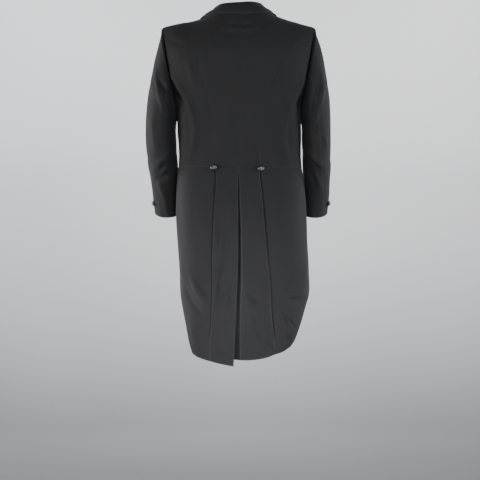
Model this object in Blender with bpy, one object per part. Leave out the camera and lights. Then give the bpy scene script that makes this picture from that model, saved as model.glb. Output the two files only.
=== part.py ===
"""White tie tailcoat in its worn shape: every piece that is cut and sewn is one closed cloth wall.

Metres, +Z up. The coat faces -Y, and the wearer's left is +X. The origin is the centre of the neck
opening at the height of the collar's lower edge. The body is a family of level sections. A place
on it is given by its height and by the angle round the body: 0 at the centre back, 90 at the
wearer's left side, -90 at the right side, 180 at the centre front.
"""
from collections import namedtuple

import bmesh
import bpy
import numpy as np
from mathutils import Vector

for old in list(bpy.data.objects):
    bpy.data.objects.remove(old, do_unlink=True)

# Driving sizes
CLOTH = 0.0016            # wall of one layer of cloth
SEAM_GAP = 0.0004         # between two pieces at a seam
ARMHOLE_GAP = 0.0016      # how far outside the body's edge the sleeve starts
SIDE_SEAM_ANGLE = 92.0    # where side body and forepart meet under the arm
ARMHOLE_BOTTOM = -0.268   # height of the underarm point
SIDE_SEAM_MIDDLE = -0.371  # height halfway down the side seam
SIDE_WAIST = -0.474       # height of the waist seam at the side seam
SKIRT_START_ANGLE = 135.0  # where the skirt's front edge leaves the waist seam
SQUARENESS = 0.05         # how far the level sections depart from an ellipse
ROUND_SCALE = 0.0022      # metres round the body for each degree, about
LAPEL_LIFT = 0.0028       # outer face of the lapel above the forepart's
FALL_LIFT = 0.0036        # outer face of the collar's fall above the cloth that it lies on
FRONT_FALL_LIFT = 0.0050  # the same at the front
FRONT_FALL_ROLL = 0.0085  # the same there, close to the fold
PLEAT_DEPTH = 0.0042      # outer face of the skirt below the tail's at the side pleat
PLEAT_INLAY = 0.026       # width of the skirt's inlay under the tail
VENT_DEPTH = 0.0105       # outer face of the vent's underlap below the tail's
VENT_RISER = 0.0040       # width over which the right tail folds down to the underlap
VENT_UNDERLAP = 0.036     # how far the underlap runs on past the left tail's edge
NECK_HALF_WIDTH = 0.086
SHOULDER_HALF_WIDTH = 0.2405
ROW_FALL = 0.014          # how far the back's rows drop towards the centre seam
BACK_ROUND = 0.150        # height over which the back rolls up to the shoulder seam
FRONT_ROUND = 0.185       # the same on the chest
ROLL_AT_MIDDLE = 0.95     # how abruptly it rolls at the centre back: a power
ROLL_AT_SHOULDER = 0.50   # the same from the side of the neck outwards
SHARP_FROM = 40           # degrees from which an edge is shaded sharp
# The right shoulder, with its side of the collar, stands higher. Distances out, then heights
RIGHT_RISE = 0.0090
RISE_FROM, RISE_FULL, RISE_FADES, RISE_ENDS = 0.010, 0.075, 0.115, 0.215
RISE_BOTTOM, RISE_TOP = -0.150, -0.040

# Level sections of the body. left, right: half widths; back, middle, front: places along Y
Section = namedtuple("Section", "height left right back middle front")
BODY = [
    Section(+0.040, 0.2640, 0.2640, 0.110, 0.000, -0.100),
    Section(-0.040, 0.2625, 0.2625, 0.114, 0.000, -0.116),
    Section(-0.090, 0.2585, 0.2570, 0.120, 0.000, -0.132),
    Section(-0.130, 0.2505, 0.2490, 0.124, 0.000, -0.142),
    Section(-0.190, 0.2325, 0.2310, 0.124, 0.000, -0.150),
    Section(-0.230, 0.2170, 0.2165, 0.120, 0.000, -0.149),
    Section(-0.268, 0.2020, 0.2030, 0.115, 0.000, -0.146),
    Section(-0.300, 0.1985, 0.2012, 0.110, 0.000, -0.142),
    Section(-0.344, 0.1952, 0.1995, 0.102, 0.000, -0.136),
    Section(-0.413, 0.1905, 0.1985, 0.092, 0.000, -0.127),
    Section(-0.469, 0.1912, 0.2008, 0.089, 0.000, -0.123),
    Section(-0.510, 0.1958, 0.2055, 0.096, 0.001, -0.123),
    Section(-0.570, 0.1975, 0.2120, 0.109, 0.003, -0.126),
    Section(-0.630, 0.1984, 0.2157, 0.118, 0.005, -0.128),
    Section(-0.705, 0.1953, 0.2190, 0.125, 0.008, -0.130),
    Section(-0.800, 0.1885, 0.2240, 0.130, 0.010, -0.130),
    Section(-0.880, 0.1845, 0.2247, 0.132, 0.012, -0.130),
    Section(-0.920, 0.1805, 0.2170, 0.132, 0.013, -0.130),
    Section(-0.970, 0.1750, 0.2080, 0.131, 0.014, -0.130),
    Section(-1.030, 0.1720, 0.1990, 0.128, 0.015, -0.130),
    Section(-1.120, 0.1700, 0.1950, 0.124, 0.015, -0.130),
]

# Top edge: back neck, then shoulder seam. out: distance from the middle
TopPoint = namedtuple("TopPoint", "out y z")
TOP_EDGE = [
    TopPoint(0.000, 0.0660, +0.0100),
    TopPoint(0.030, 0.0635, +0.0104),
    TopPoint(0.060, 0.0465, +0.0118),
    TopPoint(0.078, 0.0205, +0.0128),
    TopPoint(0.086, 0.0030, +0.0118),
    TopPoint(0.120, 0.0010, -0.0050),
    TopPoint(0.152, -0.0010, -0.0140),
    TopPoint(0.186, -0.0030, -0.0190),
    TopPoint(0.233, -0.0060, -0.0292),
    TopPoint(0.242, -0.0065, -0.0330),
    TopPoint(0.270, -0.0080, -0.0470),
]

# Seams and edges. out: distance from the middle; round: angle round the body
Seam = namedtuple("Seam", "out z")
Edge = namedtuple("Edge", "round z")
CENTRE_SEAM = [Seam(0.0, 0.010), Seam(-0.002, -0.10), Seam(0.003, -0.25), Seam(0.0045, -0.33),
               Seam(0.0015, -0.488)]
BACK_ARMHOLE = [Seam(SHOULDER_HALF_WIDTH, -0.0323), Seam(0.2355, -0.075), Seam(0.2305, -0.105)]
BACK_ARMHOLE_LOW = [Seam(0.2305, -0.105), Seam(0.2250, -0.145), Seam(0.2165, -0.192),
                    Seam(0.2090, -0.232)]
FRONT_ARMHOLE = [Seam(SHOULDER_HALF_WIDTH, -0.0323), Seam(0.2260, -0.090), Seam(0.2130, -0.140),
                 Seam(0.2045, -0.190), Seam(0.2020, -0.225)]
SIDE_BODY_SEAM = {
    "left": [Seam(0.2305, -0.1050), Seam(0.1900, -0.1085), Seam(0.1580, -0.1130), Seam(0.1388, -0.1230),
             Seam(0.1290, -0.1430), Seam(0.1225, -0.1700), Seam(0.1023, -0.2430), Seam(0.0895, -0.2876),
             Seam(0.0767, -0.3615), Seam(0.0710, -0.4083), Seam(0.0725, -0.4500), Seam(0.0773, -0.4841)],
    "right": [Seam(0.2305, -0.1050), Seam(0.1900, -0.1085), Seam(0.1600, -0.1140), Seam(0.1420, -0.1280),
              Seam(0.1310, -0.1480), Seam(0.1240, -0.1700), Seam(0.1073, -0.2140), Seam(0.0889, -0.2876),
              Seam(0.0740, -0.3428), Seam(0.0640, -0.3977), Seam(0.0645, -0.4450), Seam(0.0696, -0.4875)],
}
PLEAT_LINE = {
    "left": [Seam(0.0773, -0.4841), Seam(0.0702, -0.5040), Seam(0.0710, -0.5300), Seam(0.0724, -0.5570),
             Seam(0.0754, -0.6130), Seam(0.0785, -0.6680), Seam(0.0800, -0.7230), Seam(0.0815, -0.7780),
             Seam(0.0817, -0.8610), Seam(0.0824, -0.9170), Seam(0.0850, -0.9720), Seam(0.0880, -1.0130),
             Seam(0.0910, -1.0870)],
    "right": [Seam(0.0696, -0.4875), Seam(0.0672, -0.5050), Seam(0.0724, -0.5570), Seam(0.0774, -0.6130),
              Seam(0.0820, -0.6680), Seam(0.0867, -0.7230), Seam(0.0913, -0.7780), Seam(0.0970, -0.8340),
              Seam(0.1008, -0.8890), Seam(0.1033, -0.9440), Seam(0.1092, -0.9990), Seam(0.1150, -1.0665)],
}
VENT_EDGE = {
    "left": [Seam(0.0015, -0.488), Seam(0.0015, -0.773), Seam(0.0055, -0.897), Seam(0.0092, -0.990),
             Seam(0.0154, -1.1036)],
    "right": [Seam(0.0013, -0.488), Seam(-0.0014, -0.531), Seam(-0.0046, -0.607), Seam(-0.0080, -0.690),
              Seam(-0.0092, -0.775), Seam(-0.0082, -0.850), Seam(-0.0044, -0.930), Seam(-0.0040, -1.000),
              Seam(-0.0050, -1.0838)],
}
TAIL_HEM = {
    "left": [Seam(0.0154, -1.1036), Seam(0.0574, -1.0958), Seam(0.0910, -1.0870)],
    "right": [Seam(0.0050, -1.0838), Seam(0.0357, -1.0844), Seam(0.0823, -1.0780), Seam(0.1150, -1.0665)],
}
SKIRT_HEM = {
    "left": [Seam(0.0910, -1.0870), Seam(0.1070, -1.0830), Seam(0.1300, -1.0750), Seam(0.1425, -1.0660)],
    "right": [Seam(0.1150, -1.0665), Seam(0.1300, -1.0625), Seam(0.1425, -1.0570), Seam(0.1560, -1.0470)],
}
CUTAWAY = {
    "left": [Edge(135.0, -0.491), Edge(128.5, -0.550), Edge(120.0, -0.620), Edge(110.0, -0.700),
             Edge(99.0, -0.780), Edge(89.0, -0.850), Edge(78.0, -0.910), Edge(67.0, -0.975),
             Edge(58.5, -1.030), Edge(51.0, -1.066)],
    "right": [Edge(135.0, -0.491), Edge(128.5, -0.550), Edge(120.0, -0.620), Edge(110.0, -0.700),
              Edge(100.0, -0.780), Edge(90.0, -0.850), Edge(77.0, -0.900), Edge(66.5, -0.966),
              Edge(57.5, -1.018), Edge(47.0, -1.047)],
}
FRONT_EDGE = [Seam(0.0860, 0.0118), Seam(0.0890, -0.0350), Seam(0.0880, -0.0900), Seam(0.0800, -0.2000),
              Seam(0.0680, -0.3200), Seam(0.0615, -0.3900), Seam(0.0640, -0.4450), Seam(0.0742, -0.4982)]
SIDE_SEAM = [Edge(SIDE_SEAM_ANGLE, ARMHOLE_BOTTOM), Edge(SIDE_SEAM_ANGLE, SIDE_SEAM_MIDDLE),
             Edge(SIDE_SEAM_ANGLE, SIDE_WAIST)]
UNDERARM = [Edge(76.0, -0.2570), Edge(SIDE_SEAM_ANGLE, ARMHOLE_BOTTOM)]
FRONT_WAIST = [Edge(SIDE_SEAM_ANGLE, SIDE_WAIST), Edge(113.0, -0.4800), Edge(SKIRT_START_ANGLE, -0.4900)]
LAPEL_ROLL = [Seam(0.0885, -0.0660), Seam(0.0862, -0.1200), Seam(0.0800, -0.2000), Seam(0.0680, -0.3200),
              Seam(0.0617, -0.3860)]
LAPEL_GORGE = [Seam(0.0885, -0.0660), Seam(0.1100, -0.0760), Seam(0.1310, -0.0860), Seam(0.1640, -0.0690)]
LAPEL_OUTER = [Seam(0.1640, -0.0690), Seam(0.1655, -0.1000), Seam(0.1580, -0.1500), Seam(0.1400, -0.2200),
               Seam(0.1120, -0.3000), Seam(0.0800, -0.3700), Seam(0.0660, -0.3900)]

# Soft folds pressed into the body. x and z of their ends and middle, half width and height
Fold = namedtuple("Fold", "x1 z1 x2 z2 x3 z3 spread height")
BODY_FOLDS = [
    Fold(0.214, -0.190, 0.158, -0.290, 0.140, -0.362, 0.016, 0.0050),
    Fold(0.140, -0.362, 0.142, -0.410, 0.160, -0.455, 0.016, 0.0035),
    Fold(-0.216, -0.185, -0.165, -0.260, -0.140, -0.340, 0.016, 0.0040),
    Fold(0.160, -0.800, 0.125, -0.870, 0.100, -0.930, 0.020, 0.0035),
    Fold(-0.150, -0.904, -0.185, -0.902, -0.215, -0.906, 0.013, -0.0055),
    Fold(-0.150, -0.970, -0.165, -0.995, -0.180, -1.020, 0.014, -0.0030),
    Fold(-0.030, -0.960, -0.055, -1.010, -0.110, -1.055, 0.020, 0.0030),
]
FOLD_END = 0.1            # how much of a half wave is left off at each end of a fold

# Sleeves. Each ring runs from an outer to an inner point; y is its middle, half_depth its reach along Y
Ring = namedtuple("Ring", "outer_x outer_z inner_x inner_z y half_depth")
SLEEVE = {
    "left": [
        Ring(0.2485, -0.0620, 0.2040, -0.2715, -0.004, 0.0810),
        Ring(0.2565, -0.0930, 0.2060, -0.2760, -0.004, 0.0835),
        Ring(0.2685, -0.1420, 0.2048, -0.2850, -0.004, 0.0840),
        Ring(0.2800, -0.2030, 0.2028, -0.2960, -0.005, 0.0820),
        Ring(0.2905, -0.2700, 0.2005, -0.3180, -0.006, 0.0785),
        Ring(0.2965, -0.3434, 0.2008, -0.3560, -0.009, 0.0740),
        Ring(0.2975, -0.3913, 0.1992, -0.3960, -0.014, 0.0710),
        Ring(0.2940, -0.4393, 0.1968, -0.4390, -0.023, 0.0680),
        Ring(0.2875, -0.4872, 0.1942, -0.4850, -0.038, 0.0650),
        Ring(0.2815, -0.5330, 0.1950, -0.5310, -0.058, 0.0610),
        Ring(0.2780, -0.5760, 0.1930, -0.5745, -0.078, 0.0570),
        Ring(0.2740, -0.6175, 0.1900, -0.6165, -0.097, 0.0540),
    ],
    "right": [
        Ring(0.2510, -0.0620, 0.2052, -0.2715, -0.004, 0.0810),
        Ring(0.2620, -0.0930, 0.2065, -0.2760, -0.004, 0.0835),
        Ring(0.2730, -0.1420, 0.2058, -0.2850, -0.004, 0.0840),
        Ring(0.2825, -0.2030, 0.2046, -0.2960, -0.005, 0.0820),
        Ring(0.2905, -0.2700, 0.2028, -0.3180, -0.006, 0.0785),
        Ring(0.2939, -0.3434, 0.2026, -0.3560, -0.009, 0.0740),
        Ring(0.2955, -0.3913, 0.2030, -0.3960, -0.014, 0.0710),
        Ring(0.2955, -0.4393, 0.2048, -0.4400, -0.023, 0.0680),
        Ring(0.2955, -0.4872, 0.2062, -0.4880, -0.038, 0.0650),
        Ring(0.2950, -0.5330, 0.2085, -0.5330, -0.058, 0.0610),
        Ring(0.2945, -0.5760, 0.2080, -0.5760, -0.078, 0.0570),
        Ring(0.2905, -0.6175, 0.2065, -0.6170, -0.097, 0.0540),
    ],
}
HIND_SEAM_AT_ARMHOLE = 100.0   # degrees round the sleeve from its outer point towards the back
HIND_SEAM_AT_CUFF = 50.0
FORE_SEAM = -122.0
SLEEVE_ROUNDNESS = 0.9         # power on the sine and cosine of a ring: 1 is an ellipse
SLEEVE_TILT_FROM, SLEEVE_TILT_RINGS = 4, 5   # ring from which the rings turn square to the forearm
SLEEVE_ROUND = 0.3             # metres round a sleeve, about
# Folds at the crook of the elbow. z: height, turn: degrees round, slant: rise per metre round
SleeveFold = namedtuple("SleeveFold", "z turn slant reach spread height")
SLEEVE_FOLDS = [
    SleeveFold(-0.445, 110.0, 0.9, 50.0, 0.013, 0.0035),
    SleeveFold(-0.478, 120.0, 0.9, 55.0, 0.012, -0.0035),
    SleeveFold(-0.245, 70.0, -0.9, 45.0, 0.016, 0.0040),
]

# Collar. seam: on the neck edge; fold: its top; edge: lower edge of the fall;
# right: heights of the fold and of that edge on the right side
CollarRow = namedtuple("CollarRow", "seam fold edge right", defaults=(None,))
COLLAR_BACK = [
    CollarRow((0.000, 0.0642, 0.0105), (0.0000, 0.0590, 0.0382), (0.0000, -0.0016), (0.0382, -0.0016)),
    CollarRow((0.030, 0.0617, 0.0110), (0.0285, 0.0560, 0.0372), (0.0350, -0.0010), (0.0388, -0.0034)),
    CollarRow((0.059, 0.0450, 0.0125), (0.0545, 0.0420, 0.0358), (0.0720, 0.0004), (0.0342, -0.0076)),
    CollarRow((0.077, 0.0205, 0.0136), (0.0715, 0.0190, 0.0310), (0.0990, -0.0024), (0.0310, -0.0052)),
]
COLLAR_SHOULDER = CollarRow((0.0846, 0.0020, 0.0132), (0.0795, -0.0010, 0.0255), (0.1215, -0.0068))
COLLAR_FRONT = [
    CollarRow((0.0845, -0.0150), (0.0806, 0.0080), (0.1315, -0.0290)),
    CollarRow((0.0862, -0.0400), (0.0840, -0.0265), (0.1340, -0.0560)),
    CollarRow((0.0855, -0.0640), (0.0852, -0.0550), (0.1290, -0.0815)),
]
COLLAR_FOLD = 2 * CLOTH + 0.0016   # thickness through stand and fall at the fold
COLLAR_BELLY = 0.0022              # how far the fall bows out between its fold and its edge
COLLAR_STEPS = 2                   # sections of the collar for each row of its tables
NECK_SIDE_TOP = 0.008              # height up to which the fold rides on the forepart's line
NECK_SIDE_LIFT = 0.0045            # how far the fold stands out of the forepart there

# Buttons
BUTTON_PROFILE = [(0.80, 0.00), (1.00, 0.25), (0.95, 0.58), (0.72, 0.84), (0.38, 0.97)]
BUTTON_SIDES = 12
WAIST_BUTTON_RADIUS, WAIST_BUTTON_HEIGHT, WAIST_BUTTON_SEAT = 0.0110, 0.0070, 0.0014
FRONT_BUTTON_RADIUS, FRONT_BUTTON_HEIGHT, FRONT_BUTTON_SEAT = 0.0100, 0.0065, 0.0006
CUFF_BUTTON_RADIUS, CUFF_BUTTON_HEIGHT, CUFF_BUTTON_SEAT = 0.0080, 0.0055, 0.0006
WAIST_BUTTONS = {"left": Seam(0.0775, -0.4835), "right": Seam(0.0700, -0.4870)}
FRONT_BUTTONS = [Seam(0.1060, -0.3450), Seam(0.0960, -0.4000), Seam(0.0920, -0.4520)]
CUFF_BUTTON_TURN, CUFF_BUTTON_Z = 36.0, -0.597

BLACK_WOOL = (0.012, 0.012, 0.013)
BLACK_SATIN = (0.008, 0.008, 0.009)

# Rows and columns along the shared seams, so that neighbours meet point to point
ARMHOLE_STEPS, SIDE_SEAM_STEPS, PLEAT_STEPS = 4, 14, 17
BACK_COLUMNS, SIDE_BODY_COLUMNS = 7, 5
SKIRT_SIDE_COLUMNS, SKIRT_FRONT_COLUMNS, FRONT_POINT_COLUMNS = 5, 4, 4
FRONT_ARMHOLE_STEPS = 7
SHOULDER_CROWDING = 1.6   # power by which rows crowd towards the shoulder seam, where the form rolls
LAPEL_STEPS, LAPEL_COLUMNS = 12, 5
SLEEVE_SIDES, SLEEVE_STEPS, TOP_SLEEVE_COLUMNS, UNDER_SLEEVE_COLUMNS = 24, 17, 13, 8


def smooth_curve(rows, steps=24):
    """A soft curve through the rows of a table, as many columns as they have."""
    rows = np.array(rows, float)
    before = np.vstack([2 * rows[0] - rows[1], rows[:-1]])
    after = np.vstack([rows[1:], 2 * rows[-1] - rows[-2]])
    slopes = (after - before) / 2
    t = np.linspace(0, 1, steps, endpoint=False)[:, None]
    pieces = []
    for k in range(len(rows) - 1):
        start, end = rows[k], rows[k + 1]
        pieces.append((2 * t**3 - 3 * t**2 + 1) * start + (t**3 - 2 * t**2 + t) * slopes[k]
                      + (3 * t**2 - 2 * t**3) * end + (t**3 - t**2) * slopes[k + 1])
    return np.vstack(pieces + [rows[-1:]])


def travel_along(line, scale):
    steps = np.linalg.norm(np.diff(line, axis=0) * scale, axis=1)
    return np.concatenate([[0], np.cumsum(steps)])


def placed(rows, shares, scale=(1.0, 1.0)):
    """Places at shares of the length of the soft curve through a seam's rows."""
    line = smooth_curve(rows)
    travel = travel_along(line, scale)
    return np.stack([np.interp(shares * travel[-1], travel, column) for column in line.T], axis=1)


def spaced(rows, count, scale=(1.0, 1.0)):
    """count + 1 places evenly apart along that curve."""
    return placed(rows, np.linspace(0, 1, count + 1), scale)


BODY_CURVE = smooth_curve(BODY[::-1])
TOP_CURVE = smooth_curve(TOP_EDGE)


def body_column(name, height):
    return np.interp(height, BODY_CURVE[:, 0], BODY_CURVE[:, Section._fields.index(name)])


def top_edge(name, out):
    return np.interp(out, TOP_CURVE[:, 0], TOP_CURVE[:, TopPoint._fields.index(name)])


def eased(value):
    value = np.clip(value, 0, 1)
    return value * value * (3 - 2 * value)


def right_rise(x, z):
    """How much higher a place of the right shoulder or collar stands than on an even coat."""
    comes = eased((-x - RISE_FROM) / (RISE_FULL - RISE_FROM))
    goes = 1 - eased((-x - RISE_FADES) / (RISE_ENDS - RISE_FADES))
    return RIGHT_RISE * comes * goes * eased((z - RISE_BOTTOM) / (RISE_TOP - RISE_BOTTOM))


def roundness(angle):
    a = np.radians(angle)
    return (np.sin(a) + SQUARENESS * np.sin(3 * a)) / (1 - SQUARENESS)


QUARTER = np.linspace(0, 90, 181)


def angle_at(x, height, front=False):
    """The angle round the body of the place x from the middle, on the back or on the front."""
    x = np.asarray(x, float)
    half_width = np.where(x >= 0, body_column("left", height), body_column("right", height))
    angle = np.interp(np.abs(x) / half_width, roundness(QUARTER), QUARTER)
    if front:
        angle = 180 - angle
    return np.where(x >= 0, angle, -angle)


def fold_height(x, z):
    """How far the soft folds lift the cloth of the back at a place."""
    total = np.zeros_like(x)
    for fold in BODY_FOLDS:
        line = smooth_curve([(fold.x1, fold.z1), (fold.x2, fold.z2), (fold.x3, fold.z3)], 8)
        share = np.linspace(0, 1, len(line))
        away = np.hypot(x[..., None] - line[:, 0], z[..., None] - line[:, 1])
        along = np.sin(np.pi * (FOLD_END + (1 - 2 * FOLD_END) * share))
        lift = np.exp(-(away / fold.spread) ** 2) * along
        total += fold.height * lift.max(axis=-1)
    return total


def body_point(angle, height):
    """Places on the outside of the cloth."""
    angle, height = np.broadcast_arrays(np.asarray(angle, float), np.asarray(height, float))
    turn = np.radians(np.abs(angle))
    half_width = np.where(angle >= 0, body_column("left", height), body_column("right", height))
    x = np.sign(angle) * half_width * roundness(np.minimum(np.abs(angle), 180 - np.abs(angle)))
    middle = body_column("middle", height)
    behind = np.cos(turn) >= 0
    depth = np.where(behind, body_column("back", height) - middle, middle - body_column("front", height))
    y = middle + depth * (np.cos(turn) - SQUARENESS * np.cos(3 * turn)) / (1 - SQUARENESS)
    y = y + np.where(behind, fold_height(x, height), 0)
    out = np.where(behind, np.abs(x), np.maximum(np.abs(x), NECK_HALF_WIDTH))
    drop = (top_edge("z", out) - height) / np.where(behind, BACK_ROUND, FRONT_ROUND)
    drop = np.clip(drop, 0, 1)
    power = ROLL_AT_MIDDLE + (ROLL_AT_SHOULDER - ROLL_AT_MIDDLE) * np.clip(out / NECK_HALF_WIDTH, 0, 1) ** 2
    roll = np.maximum(1 - (1 - drop) ** 2, 0) ** power
    y = top_edge("y", out) + (y - top_edge("y", out)) * roll
    return np.stack([x, y, height], axis=-1)


def body_normal(angle, height):
    """Outward directions of the cloth, by small differences. On the shoulder seam they point up."""
    angle, height = np.broadcast_arrays(np.asarray(angle, float), np.asarray(height, float))
    small_turn, small_rise = 0.4, 0.002
    round_step = body_point(angle + small_turn, height) - body_point(angle - small_turn, height)
    up_step = body_point(angle, height) - body_point(angle, height - small_rise)
    normal = np.cross(up_step, round_step)
    x = body_point(angle, height)[..., 0]
    below_seam = np.clip((top_edge("z", np.abs(x)) - height) / (2 * small_rise), 0, 1)
    beyond_neck = np.abs(x) > NECK_HALF_WIDTH - small_rise
    normal[..., 1] *= np.where(beyond_neck, below_seam, 1)
    return normal / np.linalg.norm(normal, axis=-1, keepdims=True)


def patch(top, bottom, inner, outer):
    """Fills four edges, each a row of (angle, height), and returns places in [row][column]."""
    def share(*lines):
        travels = [travel_along(line, (ROUND_SCALE, 1.0)) for line in lines]
        return sum(travel / travel[-1] for travel in travels) / len(lines)
    u = share(top, bottom)[None, :, None]
    v = share(inner, outer)[:, None, None]
    corners = ((1 - u) * (1 - v) * top[0] + u * (1 - v) * top[-1]
               + (1 - u) * v * bottom[0] + u * v * bottom[-1])
    return ((1 - v) * top[None] + v * bottom[None] + (1 - u) * inner[:, None] + u * outer[:, None] - corners)


def drawn_in(points, normals, edge, amount):
    """Moves one edge of a grid inwards along the cloth, to leave its half of the seam's gap."""
    points = points.copy()
    line, inside = {"top": (np.s_[0], np.s_[1]), "bottom": (np.s_[-1], np.s_[-2]),
                    "inner": (np.s_[:, 0], np.s_[:, 1]), "outer": (np.s_[:, -1], np.s_[:, -2])}[edge]
    across = np.cross(np.gradient(points[line], axis=0), normals[line])
    across /= np.linalg.norm(across, axis=-1, keepdims=True)
    if np.sum(across * (points[inside] - points[line])) < 0:
        across = -across
    points[line] += across * amount
    return points


def grid_normals(points):
    """Outward directions of a free grid, to the side where columns turn into rows."""
    normal = np.cross(np.gradient(points, axis=0), np.gradient(points, axis=1))
    return normal / np.linalg.norm(normal, axis=-1, keepdims=True)


def material(name, colour, roughness, metallic=0.0):
    made = bpy.data.materials.new(name)
    made.use_nodes = True
    shader = made.node_tree.nodes["Principled BSDF"]
    shader.inputs["Base Color"].default_value = (*colour, 1.0)
    shader.inputs["Roughness"].default_value = roughness
    shader.inputs["Metallic"].default_value = metallic
    return made


def new_object(name, bm, colour, roughness):
    mesh = bpy.data.meshes.new(name)
    for vertex in bm.verts:
        vertex.co.z += right_rise(vertex.co.x, vertex.co.z)
    bm.normal_update()
    bm.to_mesh(mesh)
    bm.free()
    mesh.shade_smooth()
    mesh.set_sharp_from_angle(angle=np.radians(SHARP_FROM))
    made = bpy.data.objects.new(name, mesh)
    made.data.materials.append(material(name, colour, roughness))
    bpy.context.scene.collection.objects.link(made)
    return made


def cloth_wall(name, grids, colour=BLACK_WOOL, roughness=0.85, thickness=CLOTH):
    """One closed wall from grids of outer places and their outward directions. Grids join where they meet.

    Both sides of the wall are split along the same diagonals, which keeps its thickness even.
    """
    bm = bmesh.new()
    found = {}
    outer, inner, faces = [], [], []

    def corner(point, normal):
        key = tuple(np.round(point, 6))
        if key not in found:
            found[key] = len(outer)
            outer.append(bm.verts.new(point))
            inner.append(bm.verts.new(point - normal * thickness))
        return found[key]

    for points, normals in grids:
        index = [[corner(points[r, c], normals[r, c]) for c in range(points.shape[1])]
                 for r in range(points.shape[0])]
        turned = np.sum(grid_normals(points) * normals) < 0
        for r in range(points.shape[0] - 1):
            for c in range(points.shape[1] - 1):
                a, b, d, e = index[r][c], index[r + 1][c], index[r + 1][c + 1], index[r][c + 1]
                bulge = (outer[a].co + outer[d].co - outer[b].co - outer[e].co) @ Vector(normals[r, c])
                halves = [(a, b, d), (a, d, e)] if bulge > 0 else [(a, b, e), (b, d, e)]
                faces += [half[::-1] if turned else half for half in halves]
    once = {}
    for loop in faces:
        for a, b in zip(loop, loop[1:] + loop[:1]):
            if (b, a) in once:
                del once[(b, a)]
            else:
                once[(a, b)] = True
        bm.faces.new([outer[k] for k in loop])
        bm.faces.new([inner[k] for k in reversed(loop)])
    for a, b in once:
        bm.faces.new([outer[b], outer[a], inner[a], inner[b]])
    return new_object(name, bm, colour, roughness)


def on_body(line, side, front=False):
    """Places given as distances out, as (angle, height) on the back or the front of one side."""
    way = 1 if side == "left" else -1
    return np.stack([angle_at(way * line[:, 0], line[:, 1], front=front), line[:, 1]], axis=1)


def signed(rows, side, count=None):
    """Seam rows on the back of one side: count + 1 places, or as many as the soft curve has."""
    return on_body(spaced(rows, count) if count else smooth_curve(rows), side)


def signed_front(rows, side, count):
    """The same on the front of one side."""
    return on_body(spaced(rows, count), side, front=True)


def signed_edge(rows, side, count):
    """count + 1 places along an edge whose rows are angles round the body."""
    line = spaced(rows, count, (ROUND_SCALE, 1.0))
    line[:, 0] *= 1 if side == "left" else -1
    return line


def joined(*lines):
    return np.vstack([lines[0]] + [line[1:] for line in lines[1:]])


def grid(places, edges, sink=None):
    """Places in [row][column] as points and directions, with gaps left at the named edges."""
    points = body_point(places[..., 0], places[..., 1])
    normals = body_normal(places[..., 0], places[..., 1])
    if sink is not None:
        points = points - normals * sink[..., None]
    for edge in edges:
        points = drawn_in(points, normals, edge, SEAM_GAP / 2)
    return points, normals


def shoulder_line(side, front, count):
    out = np.linspace(NECK_HALF_WIDTH, SHOULDER_HALF_WIDTH, count + 1)
    z = top_edge("z", out)
    way = 1 if side == "left" else -1
    return np.stack([angle_at(way * out, z, front=front), z], axis=1)


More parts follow.
